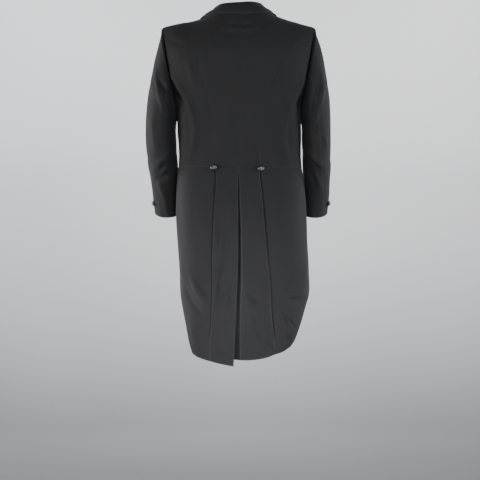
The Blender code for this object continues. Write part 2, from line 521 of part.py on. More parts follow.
def back_piece(side):
    """Back and tail, cut in one, from the centre seam to the side body seam and the side pleat."""
    way = 1 if side == "left" else -1
    seam = signed(SIDE_BODY_SEAM[side], side, SIDE_SEAM_STEPS)
    crowded = np.linspace(0, 1, ARMHOLE_STEPS + 1) ** SHOULDER_CROWDING
    outer = joined(on_body(placed(BACK_ARMHOLE, crowded), side), seam,
                   signed(PLEAT_LINE[side], side, PLEAT_STEPS))
    upper = ARMHOLE_STEPS + SIDE_SEAM_STEPS
    centre_line = smooth_curve(CENTRE_SEAM)
    vent_line = smooth_curve(VENT_EDGE[side])
    shared = spaced(SIDE_BODY_SEAM["left"], SIDE_SEAM_STEPS)
    heights = outer[:, 1].copy()
    heights[ARMHOLE_STEPS:upper + 1] = shared[:, 1] - ROW_FALL * (1 - (shared[:, 0] / shared[0, 0]) ** 2)
    heights[:ARMHOLE_STEPS] = CENTRE_SEAM[0].z + (heights[ARMHOLE_STEPS] - CENTRE_SEAM[0].z) * crowded[:-1]
    heights[upper] = CENTRE_SEAM[-1].z
    tail = np.linspace(0, 1, PLEAT_STEPS + 1)
    heights[upper:] = CENTRE_SEAM[-1].z + (VENT_EDGE[side][-1].z - CENTRE_SEAM[-1].z) * tail
    x_upper = np.interp(-heights[:upper + 1], -centre_line[:, 1], centre_line[:, 0])
    x_lower = np.interp(-heights[upper + 1:], -vent_line[:, 1], vent_line[:, 0])
    x = np.concatenate([x_upper, x_lower])
    inner = np.stack([angle_at(x, heights), heights], axis=1)
    out = np.concatenate([np.linspace(0, NECK_HALF_WIDTH, 4)[:-1],
                          np.linspace(NECK_HALF_WIDTH, SHOULDER_HALF_WIDTH, BACK_COLUMNS - 2)])
    z = top_edge("z", out)
    top = np.stack([angle_at(way * out, z), z], axis=1)
    hem = spaced(TAIL_HEM[side], BACK_COLUMNS)
    hem_x = hem[:, 0] * way
    if side == "right":
        hem_x[0] = VENT_EDGE["right"][-1].out
    bottom = np.stack([angle_at(hem_x, hem[:, 1]), hem[:, 1]], axis=1)
    top[0], top[-1], bottom[0], bottom[-1] = inner[0], outer[0], inner[-1], outer[-1]
    places = patch(top, bottom, inner, outer)
    grids = [grid(places, ["inner", "outer", "top"])]
    if side == "right":
        points, normals = grids[0]
        fold = points[upper + 1:, 0]
        left_edge = np.interp(-fold[:, 2], -smooth_curve(VENT_EDGE["left"])[:, 1],
                              smooth_curve(VENT_EDGE["left"])[:, 0])
        columns, directions = [fold], [normals[upper + 1:, 0]]
        for x_new, sink in ((fold[:, 0] + VENT_RISER, VENT_DEPTH),
                            (left_edge + VENT_UNDERLAP / 2, VENT_DEPTH),
                            (left_edge + VENT_UNDERLAP, VENT_DEPTH)):
            angle = angle_at(x_new, fold[:, 2])
            normal = body_normal(angle, fold[:, 2])
            columns.append(body_point(angle, fold[:, 2]) - normal * sink)
            directions.append(normal)
        grids.append((np.stack(columns, axis=1), np.stack(directions, axis=1)))
    cloth_wall(f"back_{side}", grids)


def side_body(side):
    """Panel under the arm, from the side body seam to the side seam, down to the waist seam."""
    inner = signed(SIDE_BODY_SEAM[side], side, SIDE_SEAM_STEPS)
    outer = signed_edge(SIDE_SEAM, side, SIDE_SEAM_STEPS)
    places = patch(underarm(side), waist_seam_behind(side), inner, outer)
    cloth_wall(f"side_body_{side}", [grid(places, ["top", "bottom", "inner", "outer"])])


def underarm(side):
    """The armhole's edge on the side body, from the side body seam to the side seam."""
    line = joined(signed(BACK_ARMHOLE_LOW, "left"), np.array(UNDERARM))
    line = spaced(line[::12], SIDE_BODY_COLUMNS, (ROUND_SCALE, 1.0))
    line[-1] = UNDERARM[-1]
    line[:, 0] *= 1 if side == "left" else -1
    line[0] = signed(BACK_ARMHOLE_LOW, side)[0]
    return line


def waist_seam_behind(side):
    """Waist seam from the side pleat's button to the side seam."""
    start = signed(SIDE_BODY_SEAM[side], side)[-1]
    end = np.array([SIDE_SEAM_ANGLE * (1 if side == "left" else -1), SIDE_WAIST])
    share = np.linspace(0, 1, SKIRT_SIDE_COLUMNS + 1)[:, None]
    return start * (1 - share) + end * share


def forepart(side):
    """Front from the shoulder to the waist seam, whose edge hangs open and runs to a point below."""
    crowded = np.linspace(0, 1, FRONT_ARMHOLE_STEPS + 1) ** SHOULDER_CROWDING
    armhole = on_body(placed(FRONT_ARMHOLE, crowded), side, front=True)
    side_seam = signed_edge(SIDE_SEAM, side, SIDE_SEAM_STEPS)
    outer = np.vstack([armhole, side_seam[::2]])
    bottom = front_waist(side)[::-1]
    travel = travel_along(outer, (ROUND_SCALE, 1.0))
    inner = on_body(placed(FRONT_EDGE, travel / travel[-1]), side, front=True)
    top = shoulder_line(side, True, len(bottom) - 1)
    top[0], top[-1], bottom[0], bottom[-1] = inner[0], outer[0], inner[-1], outer[-1]
    places = patch(top, bottom, inner, outer)
    cloth_wall(f"forepart_{side}", [grid(places, ["top", "bottom", "outer"])])


def front_waist(side):
    """Lower edge of the forepart, from the side seam forward to the front edge."""
    way = 1 if side == "left" else -1
    seam = signed_edge(FRONT_WAIST, side, SKIRT_FRONT_COLUMNS)
    end = FRONT_EDGE[-1]
    point = np.array([float(angle_at(way * end.out, end.z, front=True)), end.z])
    share = np.linspace(0, 1, FRONT_POINT_COLUMNS + 1)[:, None]
    return joined(seam, seam[-1] * (1 - share) + point * share)


def skirt(side):
    """Skirt from the side pleat forward, with the inlay that lies under the tail at the pleat."""
    way = 1 if side == "left" else -1
    inner = signed(PLEAT_LINE[side], side, PLEAT_STEPS)
    top = joined(waist_seam_behind(side), signed_edge(FRONT_WAIST, side, SKIRT_FRONT_COLUMNS))
    outer = signed_edge(CUTAWAY[side], side, PLEAT_STEPS)
    bottom = signed(SKIRT_HEM[side], side, len(top) - 1)
    outer[0], bottom[-1] = top[-1], outer[-1]
    places = patch(top, bottom, inner, outer)
    sink = np.zeros(places.shape[:2])
    sink[:, 0] = PLEAT_DEPTH
    points, normals = grid(places, ["top"], sink)
    out = body_point(inner[:, 0], inner[:, 1])[:, 0]
    columns, directions = [points[:, 0]], [normals[:, 0]]
    for share in (0.5, 1.0):
        angle = angle_at(out - way * PLEAT_INLAY * share, points[:, 0, 2])
        normal = body_normal(angle, points[:, 0, 2])
        columns.append(body_point(angle, points[:, 0, 2]) - normal * PLEAT_DEPTH)
        directions.append(normal)
    inlay = np.stack(columns, axis=1), np.stack(directions, axis=1)
    cloth_wall(f"skirt_{side}", [(points, normals), inlay])


def armhole_loop(side, count):
    """Points round the armhole from the shoulder back and under, a little outside the body's edge."""
    way = 1 if side == "left" else -1
    behind = joined(signed(BACK_ARMHOLE, side), signed(BACK_ARMHOLE_LOW, side),
                    np.array([[place.round * way, place.z] for place in UNDERARM]))
    ahead = signed_front(FRONT_ARMHOLE, side, 40)
    loop = np.vstack([behind, ahead[::-1][:-1]])
    points = body_point(loop[:, 0], loop[:, 1])
    closed = np.vstack([points, points[:1]])
    travel = travel_along(closed, 1.0)
    wanted = np.linspace(0, travel[-1], count + 1)[:-1]
    ring = np.stack([np.interp(wanted, travel, closed[:, c]) for c in range(3)], axis=1)
    ring[:, 0] += way * ARMHOLE_GAP
    ring[:, 2] += ARMHOLE_GAP / 3
    return ring


def sleeve_grid(side):
    """Rings from the armhole to the cuff, [ring][turn], from the outer point towards the back."""
    way = 1 if side == "left" else -1
    rings = smooth_curve(SLEEVE[side], 12)
    travel = travel_along(rings[:, :4], 1.0)
    wanted = np.linspace(0, travel[-1], SLEEVE_STEPS)
    rings = np.stack([np.interp(wanted, travel, column) for column in rings.T], axis=1)
    turn = np.radians(np.arange(SLEEVE_SIDES) * 360 / SLEEVE_SIDES)
    outer, inner = (np.stack([way * rings[:, c], 0 * rings[:, c], rings[:, c + 1]], axis=1) for c in (0, 2))
    centre, half = (outer + inner) / 2, (outer - inner) / 2
    centre[:, 1] = rings[:, 4]
    along = np.gradient(centre, axis=0)
    along /= np.linalg.norm(along, axis=1, keepdims=True)
    tilt = np.clip((np.arange(SLEEVE_STEPS) - SLEEVE_TILT_FROM) / SLEEVE_TILT_RINGS, 0, 1)[:, None]
    deep = np.array([0, 1.0, 0]) - tilt * along * along[:, 1:2]
    deep /= np.linalg.norm(deep, axis=1, keepdims=True)
    c, s = (np.sign(wave) * np.abs(wave) ** SLEEVE_ROUNDNESS for wave in (np.cos(turn), np.sin(turn)))
    points = (centre[:, None] + half[:, None] * c[None, :, None]
              + deep[:, None] * (rings[:, 5, None] * s)[..., None])
    return np.concatenate([armhole_loop(side, SLEEVE_SIDES)[None], points])


def closed_normals(points, way):
    """Outward directions of a tube's grid, whose last column runs on into the first."""
    around = np.roll(points, -1, axis=1) - np.roll(points, 1, axis=1)
    normal = np.cross(np.gradient(points, axis=0), around) * way
    return normal / np.linalg.norm(normal, axis=-1, keepdims=True)


def sleeve_folds(points, normals):
    """The sleeve with its soft folds; the rings at the armhole stay as they are."""
    turn = np.arange(SLEEVE_SIDES) * 360 / SLEEVE_SIDES
    lift = np.zeros(points.shape[:2])
    for fold in SLEEVE_FOLDS:
        away = (turn - fold.turn + 180) % 360 - 180
        line = fold.z + fold.slant * away / 360 * SLEEVE_ROUND
        lift += fold.height * np.exp(-((points[..., 2] - line) / fold.spread) ** 2 - (away / fold.reach) ** 2)
    lift[:3] = 0
    return points + normals * lift[..., None]


def at_turn(points, degrees):
    """Points of a tube at one turn for each ring, between its columns."""
    place = (np.asarray(degrees) % 360) / 360 * SLEEVE_SIDES
    low = np.floor(place).astype(int) % SLEEVE_SIDES
    share = (place - np.floor(place))[:, None]
    rows = np.arange(len(points))
    return points[rows, low] * (1 - share) + points[rows, (low + 1) % SLEEVE_SIDES] * share


def sleeve(side):
    """Top and under sleeve of one side. Returns the tube that they are cut from."""
    way = 1 if side == "left" else -1
    points = sleeve_grid(side)
    normals = closed_normals(points, way)
    points = sleeve_folds(points, normals)
    share = np.linspace(0, 1, len(points))
    hind = HIND_SEAM_AT_ARMHOLE + (HIND_SEAM_AT_CUFF - HIND_SEAM_AT_ARMHOLE) * share ** 1.5
    fore = np.full(len(points), FORE_SEAM)
    for name, first, last, columns in ((f"top_sleeve_{side}", fore, hind, TOP_SLEEVE_COLUMNS),
                                       (f"under_sleeve_{side}", hind, fore + 360, UNDER_SLEEVE_COLUMNS)):
        turns = [first + (last - first) * k / columns for k in range(columns + 1)]
        piece = np.stack([at_turn(points, t) for t in turns], axis=1)
        facing = np.stack([at_turn(normals, t) for t in turns], axis=1)
        facing /= np.linalg.norm(facing, axis=-1, keepdims=True)
        for edge in ("inner", "outer"):
            piece = drawn_in(piece, facing, edge, SEAM_GAP)
        cloth_wall(name, [(piece, facing)])
    return points, normals


def collar_profile(seam, fold, edge):
    """Nine points over the fold, from the neck seam up the stand and down the fall."""
    seam, fold, edge = (np.array(p, float) for p in (seam, fold, edge))
    out = (edge - seam) * np.array([1, 1, 0])
    out /= max(np.linalg.norm(out), 1e-6)
    inside, outside = fold - out * COLLAR_FOLD / 2, fold + out * COLLAR_FOLD / 2
    bend = np.array([0, 0, COLLAR_FOLD])
    belly = (outside + edge) / 2 + out * COLLAR_BELLY
    return [seam, (seam + inside) / 2 - out * COLLAR_BELLY / 5, inside - bend * 0.6, inside - bend * 0.1,
            fold + bend * 0.15, outside - bend * 0.1, outside - bend * 0.6, belly, edge]


def lifted(x, z, lift, front):
    """A place on the body at x and z, moved out of the cloth."""
    angle = angle_at(x, z, front=front)
    return body_point(angle, z) + body_normal(angle, z) * lift


def collar():
    """Folded collar in one piece, from one gorge seam round the neck to the other."""
    rows, right_rows = [], []
    for row in COLLAR_BACK:
        rows.append(collar_profile(row.seam, row.fold, lifted(*row.edge, FALL_LIFT, False)))
        fold_z, edge_z = row.right
        right_rows.append(collar_profile(row.seam, (*row.fold[:2], fold_z),
                                         lifted(row.edge[0], edge_z, FALL_LIFT, False)))
    row = COLLAR_SHOULDER
    on_ridge = np.array([row.edge[0], top_edge("y", row.edge[0]), top_edge("z", row.edge[0]) + FALL_LIFT])
    rows.append(collar_profile(row.seam, row.fold, on_ridge))
    for row in COLLAR_FRONT:
        seam = lifted(*row.seam, -CLOTH, True)
        fold = lifted(row.fold[0], min(row.fold[1], NECK_SIDE_TOP), NECK_SIDE_LIFT, True)
        fold[2] = row.fold[1]
        profile = collar_profile(seam, fold, lifted(*row.edge, FRONT_FALL_LIFT, True))
        for place, share, lift in ((6, 0.12, FRONT_FALL_ROLL), (7, 0.5, FRONT_FALL_LIFT + COLLAR_BELLY / 2)):
            x = row.fold[0] + (row.edge[0] - row.fold[0]) * share
            z = row.fold[1] + (row.edge[1] - row.fold[1]) * share
            profile[place] = lifted(x, z, lift, True)
        rows.append(profile)
    right_rows = np.array(right_rows + rows[len(right_rows):]) * np.array([-1, 1, 1])
    rows = np.vstack([right_rows[::-1][:-1], rows])
    points = smooth_curve(rows.reshape(len(rows), -1), COLLAR_STEPS).reshape(-1, 9, 3)
    cloth_wall("collar", [(points, grid_normals(points))], BLACK_WOOL, 0.8)


def lapel(side):
    """Lapel facing that lies on the forepart, from the roll line out, a layer of cloth higher."""
    inner = signed_front(LAPEL_ROLL, side, LAPEL_STEPS)
    outer = signed_front(LAPEL_OUTER, side, LAPEL_STEPS)
    top = signed_front(LAPEL_GORGE, side, LAPEL_COLUMNS)
    share = np.linspace(0, 1, LAPEL_COLUMNS + 1)[:, None]
    bottom = inner[-1] * (1 - share) + outer[-1] * share
    places = patch(top, bottom, inner, outer)
    points = body_point(places[..., 0], places[..., 1])
    normals = body_normal(places[..., 0], places[..., 1])
    cloth_wall(f"lapel_{side}", [(points + normals * LAPEL_LIFT, normals)], BLACK_SATIN, 0.35)


def button(name, seat, axis, radius, height):
    """Covered button: a domed disc on its seat."""
    axis = axis / np.linalg.norm(axis)
    across = np.cross(axis, [0, 0, 1.0])
    across /= np.linalg.norm(across)
    up = np.cross(axis, across)
    turn = np.arange(BUTTON_SIDES) * 2 * np.pi / BUTTON_SIDES
    bm = bmesh.new()
    rings = []
    for wide, tall in BUTTON_PROFILE:
        ring = (seat + axis * height * tall
                + radius * wide * (np.cos(turn)[:, None] * across + np.sin(turn)[:, None] * up))
        rings.append([bm.verts.new(p) for p in ring])
    for low, high in zip(rings, rings[1:]):
        for k in range(BUTTON_SIDES):
            n = (k + 1) % BUTTON_SIDES
            bm.faces.new([low[k], low[n], high[n], high[k]])
    bm.faces.new(rings[-1])
    bm.faces.new(rings[0][::-1])
    bmesh.ops.recalc_face_normals(bm, faces=bm.faces[:])
    new_object(name, bm, BLACK_SATIN, 0.4)


def buttons(sleeves):
    """Two at the waist behind, three on each forepart and one on each cuff."""
    for side, way in (("left", 1), ("right", -1)):
        place = WAIST_BUTTONS[side]
        angle = angle_at(way * place.out, place.z)
        normal = body_normal(angle, place.z)
        button(f"back_button_{side}", body_point(angle, place.z) + normal * WAIST_BUTTON_SEAT, normal,
               WAIST_BUTTON_RADIUS, WAIST_BUTTON_HEIGHT)
        for number, place in enumerate(FRONT_BUTTONS, 1):
            angle = angle_at(way * place.out, place.z, front=True)
            normal = body_normal(angle, place.z)
            button(f"front_button_{side}_{number}", body_point(angle, place.z) + normal * FRONT_BUTTON_SEAT,
                   normal, FRONT_BUTTON_RADIUS, FRONT_BUTTON_HEIGHT)
        points, normals = sleeves[side]
        turns = np.full(len(points), CUFF_BUTTON_TURN)
        line, facing = at_turn(points, turns), at_turn(normals, turns)
        seat, normal = (np.array([np.interp(-CUFF_BUTTON_Z, -line[:, 2], column) for column in both.T])
                        for both in (line, facing))
        normal /= np.linalg.norm(normal)
        button(f"cuff_button_{side}", seat + normal * CUFF_BUTTON_SEAT, normal, CUFF_BUTTON_RADIUS,
               CUFF_BUTTON_HEIGHT)


sleeves_made = {}
for coat_side in ("left", "right"):
    back_piece(coat_side)
    side_body(coat_side)
    forepart(coat_side)
    skirt(coat_side)
    lapel(coat_side)
    sleeves_made[coat_side] = sleeve(coat_side)
collar()
buttons(sleeves_made)
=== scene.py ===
"""White tie tailcoat of black wool twill, worn open and seen from behind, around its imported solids.

Metres, +Z up. The coat faces -Y, and the wearer's left is +X. A place on the body is given by its
height and by the angle round it: 0 at the centre back, 90 at the left side, 180 at the centre front.
"""
from collections import namedtuple

import bpy
import numpy as np
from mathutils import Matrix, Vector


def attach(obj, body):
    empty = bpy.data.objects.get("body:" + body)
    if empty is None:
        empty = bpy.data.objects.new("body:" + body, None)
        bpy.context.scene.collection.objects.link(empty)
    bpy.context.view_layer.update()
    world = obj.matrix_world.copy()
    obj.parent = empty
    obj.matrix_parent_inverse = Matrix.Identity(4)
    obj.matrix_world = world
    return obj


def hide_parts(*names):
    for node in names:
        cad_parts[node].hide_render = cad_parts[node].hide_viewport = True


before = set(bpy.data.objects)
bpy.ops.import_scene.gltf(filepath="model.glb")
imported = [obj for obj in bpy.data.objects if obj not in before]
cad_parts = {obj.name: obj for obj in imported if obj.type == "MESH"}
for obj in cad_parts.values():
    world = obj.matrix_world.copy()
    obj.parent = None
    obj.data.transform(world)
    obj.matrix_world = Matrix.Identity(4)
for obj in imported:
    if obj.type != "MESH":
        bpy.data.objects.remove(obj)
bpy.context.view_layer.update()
bpy.ops.object.select_all(action="DESELECT")

# ------------------------------------------------------------------ Back and tails
# Two panels of black wool twill, each cut in one with its tail. They meet in the centre back seam as
# far as the waist. Below it the left tail laps over an underlap that is folded from the right one.
CLOTH = 0.0016             # thickness of the cloth
SEAM_GAP = -0.0004         # two panels meet a hair past each other, so no light shows through
SIDE_SEAM_ANGLE = 92.0     # where side body and forepart meet under the arm
ARMHOLE_BOTTOM = -0.268
SIDE_SEAM_MIDDLE = -0.371
SIDE_WAIST = -0.474        # height of the waist seam at the side seam
SKIRT_START_ANGLE = 135.0  # where the skirt's front edge leaves the waist seam
SQUARENESS = 0.05          # how far the level sections depart from an ellipse
ROUND_SCALE = 0.0022       # metres round the body for each degree, about
PLEAT_DEPTH = 0.0062       # how far the skirt lies below the tail at the side pleat
PLEAT_INLAY = 0.026
VENT_SUNK = 0.021          # how deep the vent's underlap folds in between the tails
VENT_UNDERLAP = 0.036
NECK_HALF_WIDTH = 0.086
SHOULDER_HALF_WIDTH = 0.2405
ROW_FALL = 0.014           # how far the rows of the back drop towards the centre seam
BACK_ROUND = 0.150         # height over which the back rolls up to the shoulder seam
FRONT_ROUND = 0.185        # the same on the chest
ROLL_AT_MIDDLE = 0.95
ROLL_AT_SHOULDER = 0.50
SHOULDER_CROWDING = 1.6    # power by which rows crowd towards the shoulder seam
ARMHOLE_ROWS, SEAM_ROWS, TAIL_ROWS = 22, 84, 102
NECK_COLUMNS, BACK_COLUMNS = 24, 56
SEAM_LINES = (0.0009, 0.0024)       # extra lines of points beside an edge
SEAM_ROLL = 0.0008                  # how far the cloth dips into a seam
PRESSED_BAND = 0.0050               # width of the rounded ridge along a folded edge
PRESSED_RISE = 0.0009

# Level sections of the body. left, right: half widths; back, middle, front: places along Y
Section = namedtuple("Section", "height left right back middle front")
BODY = [
    Section(+0.040, 0.2640, 0.2640, 0.110, 0.000, -0.100),
    Section(-0.040, 0.2625, 0.2625, 0.114, 0.000, -0.116),
    Section(-0.090, 0.2585, 0.2570, 0.120, 0.000, -0.132),
    Section(-0.130, 0.2505, 0.2490, 0.124, 0.000, -0.142),
    Section(-0.190, 0.2325, 0.2310, 0.124, 0.000, -0.150),
    Section(-0.230, 0.2170, 0.2165, 0.120, 0.000, -0.149),
    Section(-0.268, 0.2020, 0.2030, 0.115, 0.000, -0.146),
    Section(-0.300, 0.1985, 0.2012, 0.110, 0.000, -0.142),
    Section(-0.344, 0.1952, 0.1995, 0.102, 0.000, -0.136),
    Section(-0.413, 0.1905, 0.1985, 0.092, 0.000, -0.127),
    Section(-0.469, 0.1912, 0.2008, 0.089, 0.000, -0.123),
    Section(-0.510, 0.1958, 0.2055, 0.096, 0.001, -0.123),
    Section(-0.570, 0.1975, 0.2120, 0.109, 0.003, -0.126),
    Section(-0.630, 0.1984, 0.2157, 0.118, 0.005, -0.128),
    Section(-0.705, 0.1953, 0.2190, 0.125, 0.008, -0.130),
    Section(-0.800, 0.1885, 0.2240, 0.130, 0.010, -0.130),
    Section(-0.880, 0.1845, 0.2247, 0.132, 0.012, -0.130),
    Section(-0.920, 0.1805, 0.2170, 0.132, 0.013, -0.130),
    Section(-0.970, 0.1750, 0.2080, 0.131, 0.014, -0.130),
    Section(-1.030, 0.1720, 0.1990, 0.128, 0.015, -0.130),
    Section(-1.120, 0.1700, 0.1950, 0.124, 0.015, -0.130),
]
# Back neck, then shoulder seam. out: distance from the middle
TopPoint = namedtuple("TopPoint", "out y z")
TOP_EDGE = [
    TopPoint(0.000, 0.0660, +0.0100),
    TopPoint(0.030, 0.0635, +0.0104),
    TopPoint(0.060, 0.0465, +0.0118),
    TopPoint(0.078, 0.0205, +0.0128),
    TopPoint(0.086, 0.0030, +0.0118),
    TopPoint(0.120, 0.0010, -0.0050),
    TopPoint(0.152, -0.0010, -0.0140),
    TopPoint(0.186, -0.0030, -0.0190),
    TopPoint(0.233, -0.0060, -0.0292),
    TopPoint(0.242, -0.0065, -0.0330),
    TopPoint(0.270, -0.0080, -0.0470),
]
Seam = namedtuple("Seam", "out z")
Edge = namedtuple("Edge", "round z")
CENTRE_SEAM = [Seam(0.0, 0.010), Seam(-0.002, -0.10), Seam(0.003, -0.25), Seam(0.0045, -0.33),
               Seam(0.0015, -0.488)]
BACK_ARMHOLE = [Seam(SHOULDER_HALF_WIDTH, -0.0323), Seam(0.2355, -0.075), Seam(0.2305, -0.105)]
SIDE_BODY_SEAM = {
    "left": [Seam(0.2305, -0.1050), Seam(0.1900, -0.1085), Seam(0.1580, -0.1130), Seam(0.1388, -0.1230),
             Seam(0.1290, -0.1430), Seam(0.1225, -0.1700), Seam(0.1023, -0.2430), Seam(0.0895, -0.2876),
             Seam(0.0767, -0.3615), Seam(0.0710, -0.4083), Seam(0.0725, -0.4500), Seam(0.0773, -0.4841)],
    "right": [Seam(0.2305, -0.1050), Seam(0.1900, -0.1085), Seam(0.1600, -0.1140), Seam(0.1420, -0.1280),
              Seam(0.1310, -0.1480), Seam(0.1240, -0.1700), Seam(0.1073, -0.2140), Seam(0.0889, -0.2876),
              Seam(0.0740, -0.3428), Seam(0.0640, -0.3977), Seam(0.0645, -0.4450), Seam(0.0696, -0.4875)],
}
PLEAT_LINE = {
    "left": [Seam(0.0773, -0.4841), Seam(0.0702, -0.5040), Seam(0.0710, -0.5300), Seam(0.0724, -0.5570),
             Seam(0.0754, -0.6130), Seam(0.0785, -0.6680), Seam(0.0800, -0.7230), Seam(0.0815, -0.7780),
             Seam(0.0817, -0.8610), Seam(0.0824, -0.9170), Seam(0.0850, -0.9720), Seam(0.0880, -1.0130),
             Seam(0.0910, -1.0870)],
    "right": [Seam(0.0696, -0.4875), Seam(0.0672, -0.5050), Seam(0.0724, -0.5570), Seam(0.0774, -0.6130),
              Seam(0.0820, -0.6680), Seam(0.0867, -0.7230), Seam(0.0913, -0.7780), Seam(0.0970, -0.8340),
              Seam(0.1008, -0.8890), Seam(0.1033, -0.9440), Seam(0.1092, -0.9990), Seam(0.1150, -1.0665)],
}
VENT_EDGE = {
    "left": [Seam(0.0015, -0.488), Seam(0.0015, -0.773), Seam(0.0055, -0.897), Seam(0.0092, -0.990),
             Seam(0.0154, -1.1036)],
    "right": [Seam(0.0013, -0.488), Seam(-0.0014, -0.531), Seam(-0.0046, -0.607), Seam(-0.0080, -0.690),
              Seam(-0.0092, -0.775), Seam(-0.0082, -0.850), Seam(-0.0044, -0.930), Seam(-0.0040, -1.000),
              Seam(-0.0050, -1.0838)],
}
TAIL_HEM = {
    "left": [Seam(0.0154, -1.1036), Seam(0.0574, -1.0958), Seam(0.0910, -1.0870)],
    "right": [Seam(0.0050, -1.0838), Seam(0.0357, -1.0844), Seam(0.0823, -1.0780), Seam(0.1150, -1.0665)],
}
# Broad soft folds of the worn body. x and z of their ends and middle, half width and height
Fold = namedtuple("Fold", "x1 z1 x2 z2 x3 z3 spread height")
BODY_FOLDS = [
    Fold(0.214, -0.190, 0.158, -0.290, 0.140, -0.362, 0.016, 0.0050),
    Fold(0.140, -0.362, 0.142, -0.410, 0.160, -0.455, 0.016, 0.0035),
    Fold(-0.216, -0.185, -0.165, -0.260, -0.140, -0.340, 0.016, 0.0040),
    Fold(0.160, -0.800, 0.125, -0.870, 0.100, -0.930, 0.020, 0.0035),
    Fold(-0.150, -0.904, -0.185, -0.902, -0.215, -0.906, 0.013, -0.0055),
    Fold(-0.150, -0.970, -0.165, -0.995, -0.180, -1.020, 0.014, -0.0030),
    Fold(-0.030, -0.960, -0.055, -1.010, -0.110, -1.055, 0.020, 0.0030),
]
FOLD_END = 0.1
# Creases on one piece. faces: the way it looks; across and z of its ends and middle, where across
# is x on the back and front and y on the sides; spread: half width; height: ridge +, trough -
Crease = namedtuple("Crease", "faces a1 z1 a2 z2 a3 z3 spread height")
BACK_CREASES = {
    "left": [
        Crease("back", 0.050, -0.033, 0.020, -0.037, -0.005, -0.036, 0.0060, -0.0037),
        Crease("back", 0.046, -0.047, 0.022, -0.050, -0.004, -0.049, 0.0070, 0.0024),
        Crease("back", 0.052, -0.062, 0.025, -0.067, -0.004, -0.066, 0.0075, -0.0027),
        Crease("back", 0.205, -0.070, 0.178, -0.084, 0.150, -0.088, 0.0060, 0.0020),
        Crease("back", 0.216, -0.088, 0.196, -0.098, 0.172, -0.100, 0.0050, -0.0024),
        Crease("back", 0.112, -0.150, 0.104, -0.200, 0.092, -0.250, 0.0130, 0.0024),
        Crease("back", 0.050, -0.300, 0.038, -0.360, 0.032, -0.430, 0.0180, 0.0027),
        Crease("back", 0.061, -0.650, 0.059, -0.690, 0.063, -0.730, 0.0050, -0.0034),
        Crease("back", 0.050, -0.690, 0.051, -0.725, 0.052, -0.760, 0.0060, 0.0030),
        Crease("back", 0.055, -0.775, 0.060, -0.828, 0.060, -0.886, 0.0055, -0.0044),
        Crease("back", 0.044, -0.790, 0.046, -0.850, 0.044, -0.905, 0.0080, 0.0044),
        Crease("back", 0.032, -0.850, 0.034, -0.892, 0.027, -0.935, 0.0055, -0.0040),
        Crease("back", 0.072, -0.830, 0.073, -0.870, 0.070, -0.910, 0.0050, 0.0030),
        Crease("back", 0.024, -0.560, 0.026, -0.640, 0.022, -0.720, 0.0120, 0.0020),
        Crease("back", 0.030, -0.980, 0.042, -1.030, 0.050, -1.080, 0.0140, 0.0031),
    ],
    "right": [
        Crease("back", -0.050, -0.034, -0.024, -0.038, 0.004, -0.036, 0.0060, -0.0034),
        Crease("back", -0.048, -0.048, -0.024, -0.051, 0.004, -0.049, 0.0070, 0.0022),
        Crease("back", -0.055, -0.063, -0.028, -0.067, 0.004, -0.066, 0.0075, -0.0026),
        Crease("back", -0.208, -0.074, -0.182, -0.086, -0.155, -0.086, 0.0060, 0.0020),
        Crease("back", -0.110, -0.160, -0.100, -0.215, -0.088, -0.262, 0.0140, 0.0022),
        Crease("back", -0.046, -0.300, -0.036, -0.370, -0.030, -0.440, 0.0180, 0.0026),
        Crease("back", -0.034, -0.560, -0.045, -0.660, -0.040, -0.760, 0.0170, 0.0024),
        Crease("back", -0.026, -0.882, -0.047, -0.904, -0.072, -0.912, 0.0038, -0.0070),
        Crease("back", -0.022, -0.896, -0.042, -0.920, -0.064, -0.936, 0.0070, 0.0038),
        Crease("back", -0.078, -1.022, -0.095, -1.042, -0.110, -1.058, 0.0060, -0.0044),
        Crease("back", -0.036, -0.945, -0.062, -1.000, -0.100, -1.040, 0.0085, 0.0046),
        Crease("back", -0.030, -1.010, -0.044, -1.040, -0.052, -1.070, 0.0090, 0.0024),
    ],
}
# The right shoulder, with its side of the collar, stands higher. Distances out, then heights
RIGHT_RISE = 0.0090
RISE_FROM, RISE_FULL, RISE_FADES, RISE_ENDS = 0.010, 0.075, 0.115, 0.215
RISE_BOTTOM, RISE_TOP = -0.150, -0.040
FACING = {"back": ((0, 1, 0), 0), "front": ((0, -1, 0), 0), "left": ((1, 0, 0), 1), "right": ((-1, 0, 0), 1)}


def smooth_curve(rows, steps=24):
    """A soft curve through the rows of a table."""
    rows = np.array(rows, float)
    before = np.vstack([2 * rows[0] - rows[1], rows[:-1]])
    after = np.vstack([rows[1:], 2 * rows[-1] - rows[-2]])
    slopes = (after - before) / 2
    t = np.linspace(0, 1, steps, endpoint=False)[:, None]
    pieces = []
    for k in range(len(rows) - 1):
        start, end = rows[k], rows[k + 1]
        pieces.append((2 * t**3 - 3 * t**2 + 1) * start + (t**3 - 2 * t**2 + t) * slopes[k]
                      + (3 * t**2 - 2 * t**3) * end + (t**3 - t**2) * slopes[k + 1])
    return np.vstack(pieces + [rows[-1:]])


def travel_along(line, scale=1.0):
    steps = np.linalg.norm(np.diff(line, axis=0) * scale, axis=1)
    return np.concatenate([[0], np.cumsum(steps)])


def placed(rows, shares, scale=(1.0, 1.0)):
    """Places at shares of the length of the soft curve through a seam's rows."""
    line = smooth_curve(rows)
    travel = travel_along(line, scale)
    return np.stack([np.interp(shares * travel[-1], travel, column) for column in line.T], axis=1)


def spaced(rows, count, scale=(1.0, 1.0)):
    return placed(rows, np.linspace(0, 1, count + 1), scale)


BODY_CURVE = smooth_curve(BODY[::-1])
TOP_CURVE = smooth_curve(TOP_EDGE)
QUARTER = np.linspace(0, 90, 361)


def body_column(name, height):
    return np.interp(height, BODY_CURVE[:, 0], BODY_CURVE[:, Section._fields.index(name)])


def top_edge(name, out):
    return np.interp(out, TOP_CURVE[:, 0], TOP_CURVE[:, TopPoint._fields.index(name)])


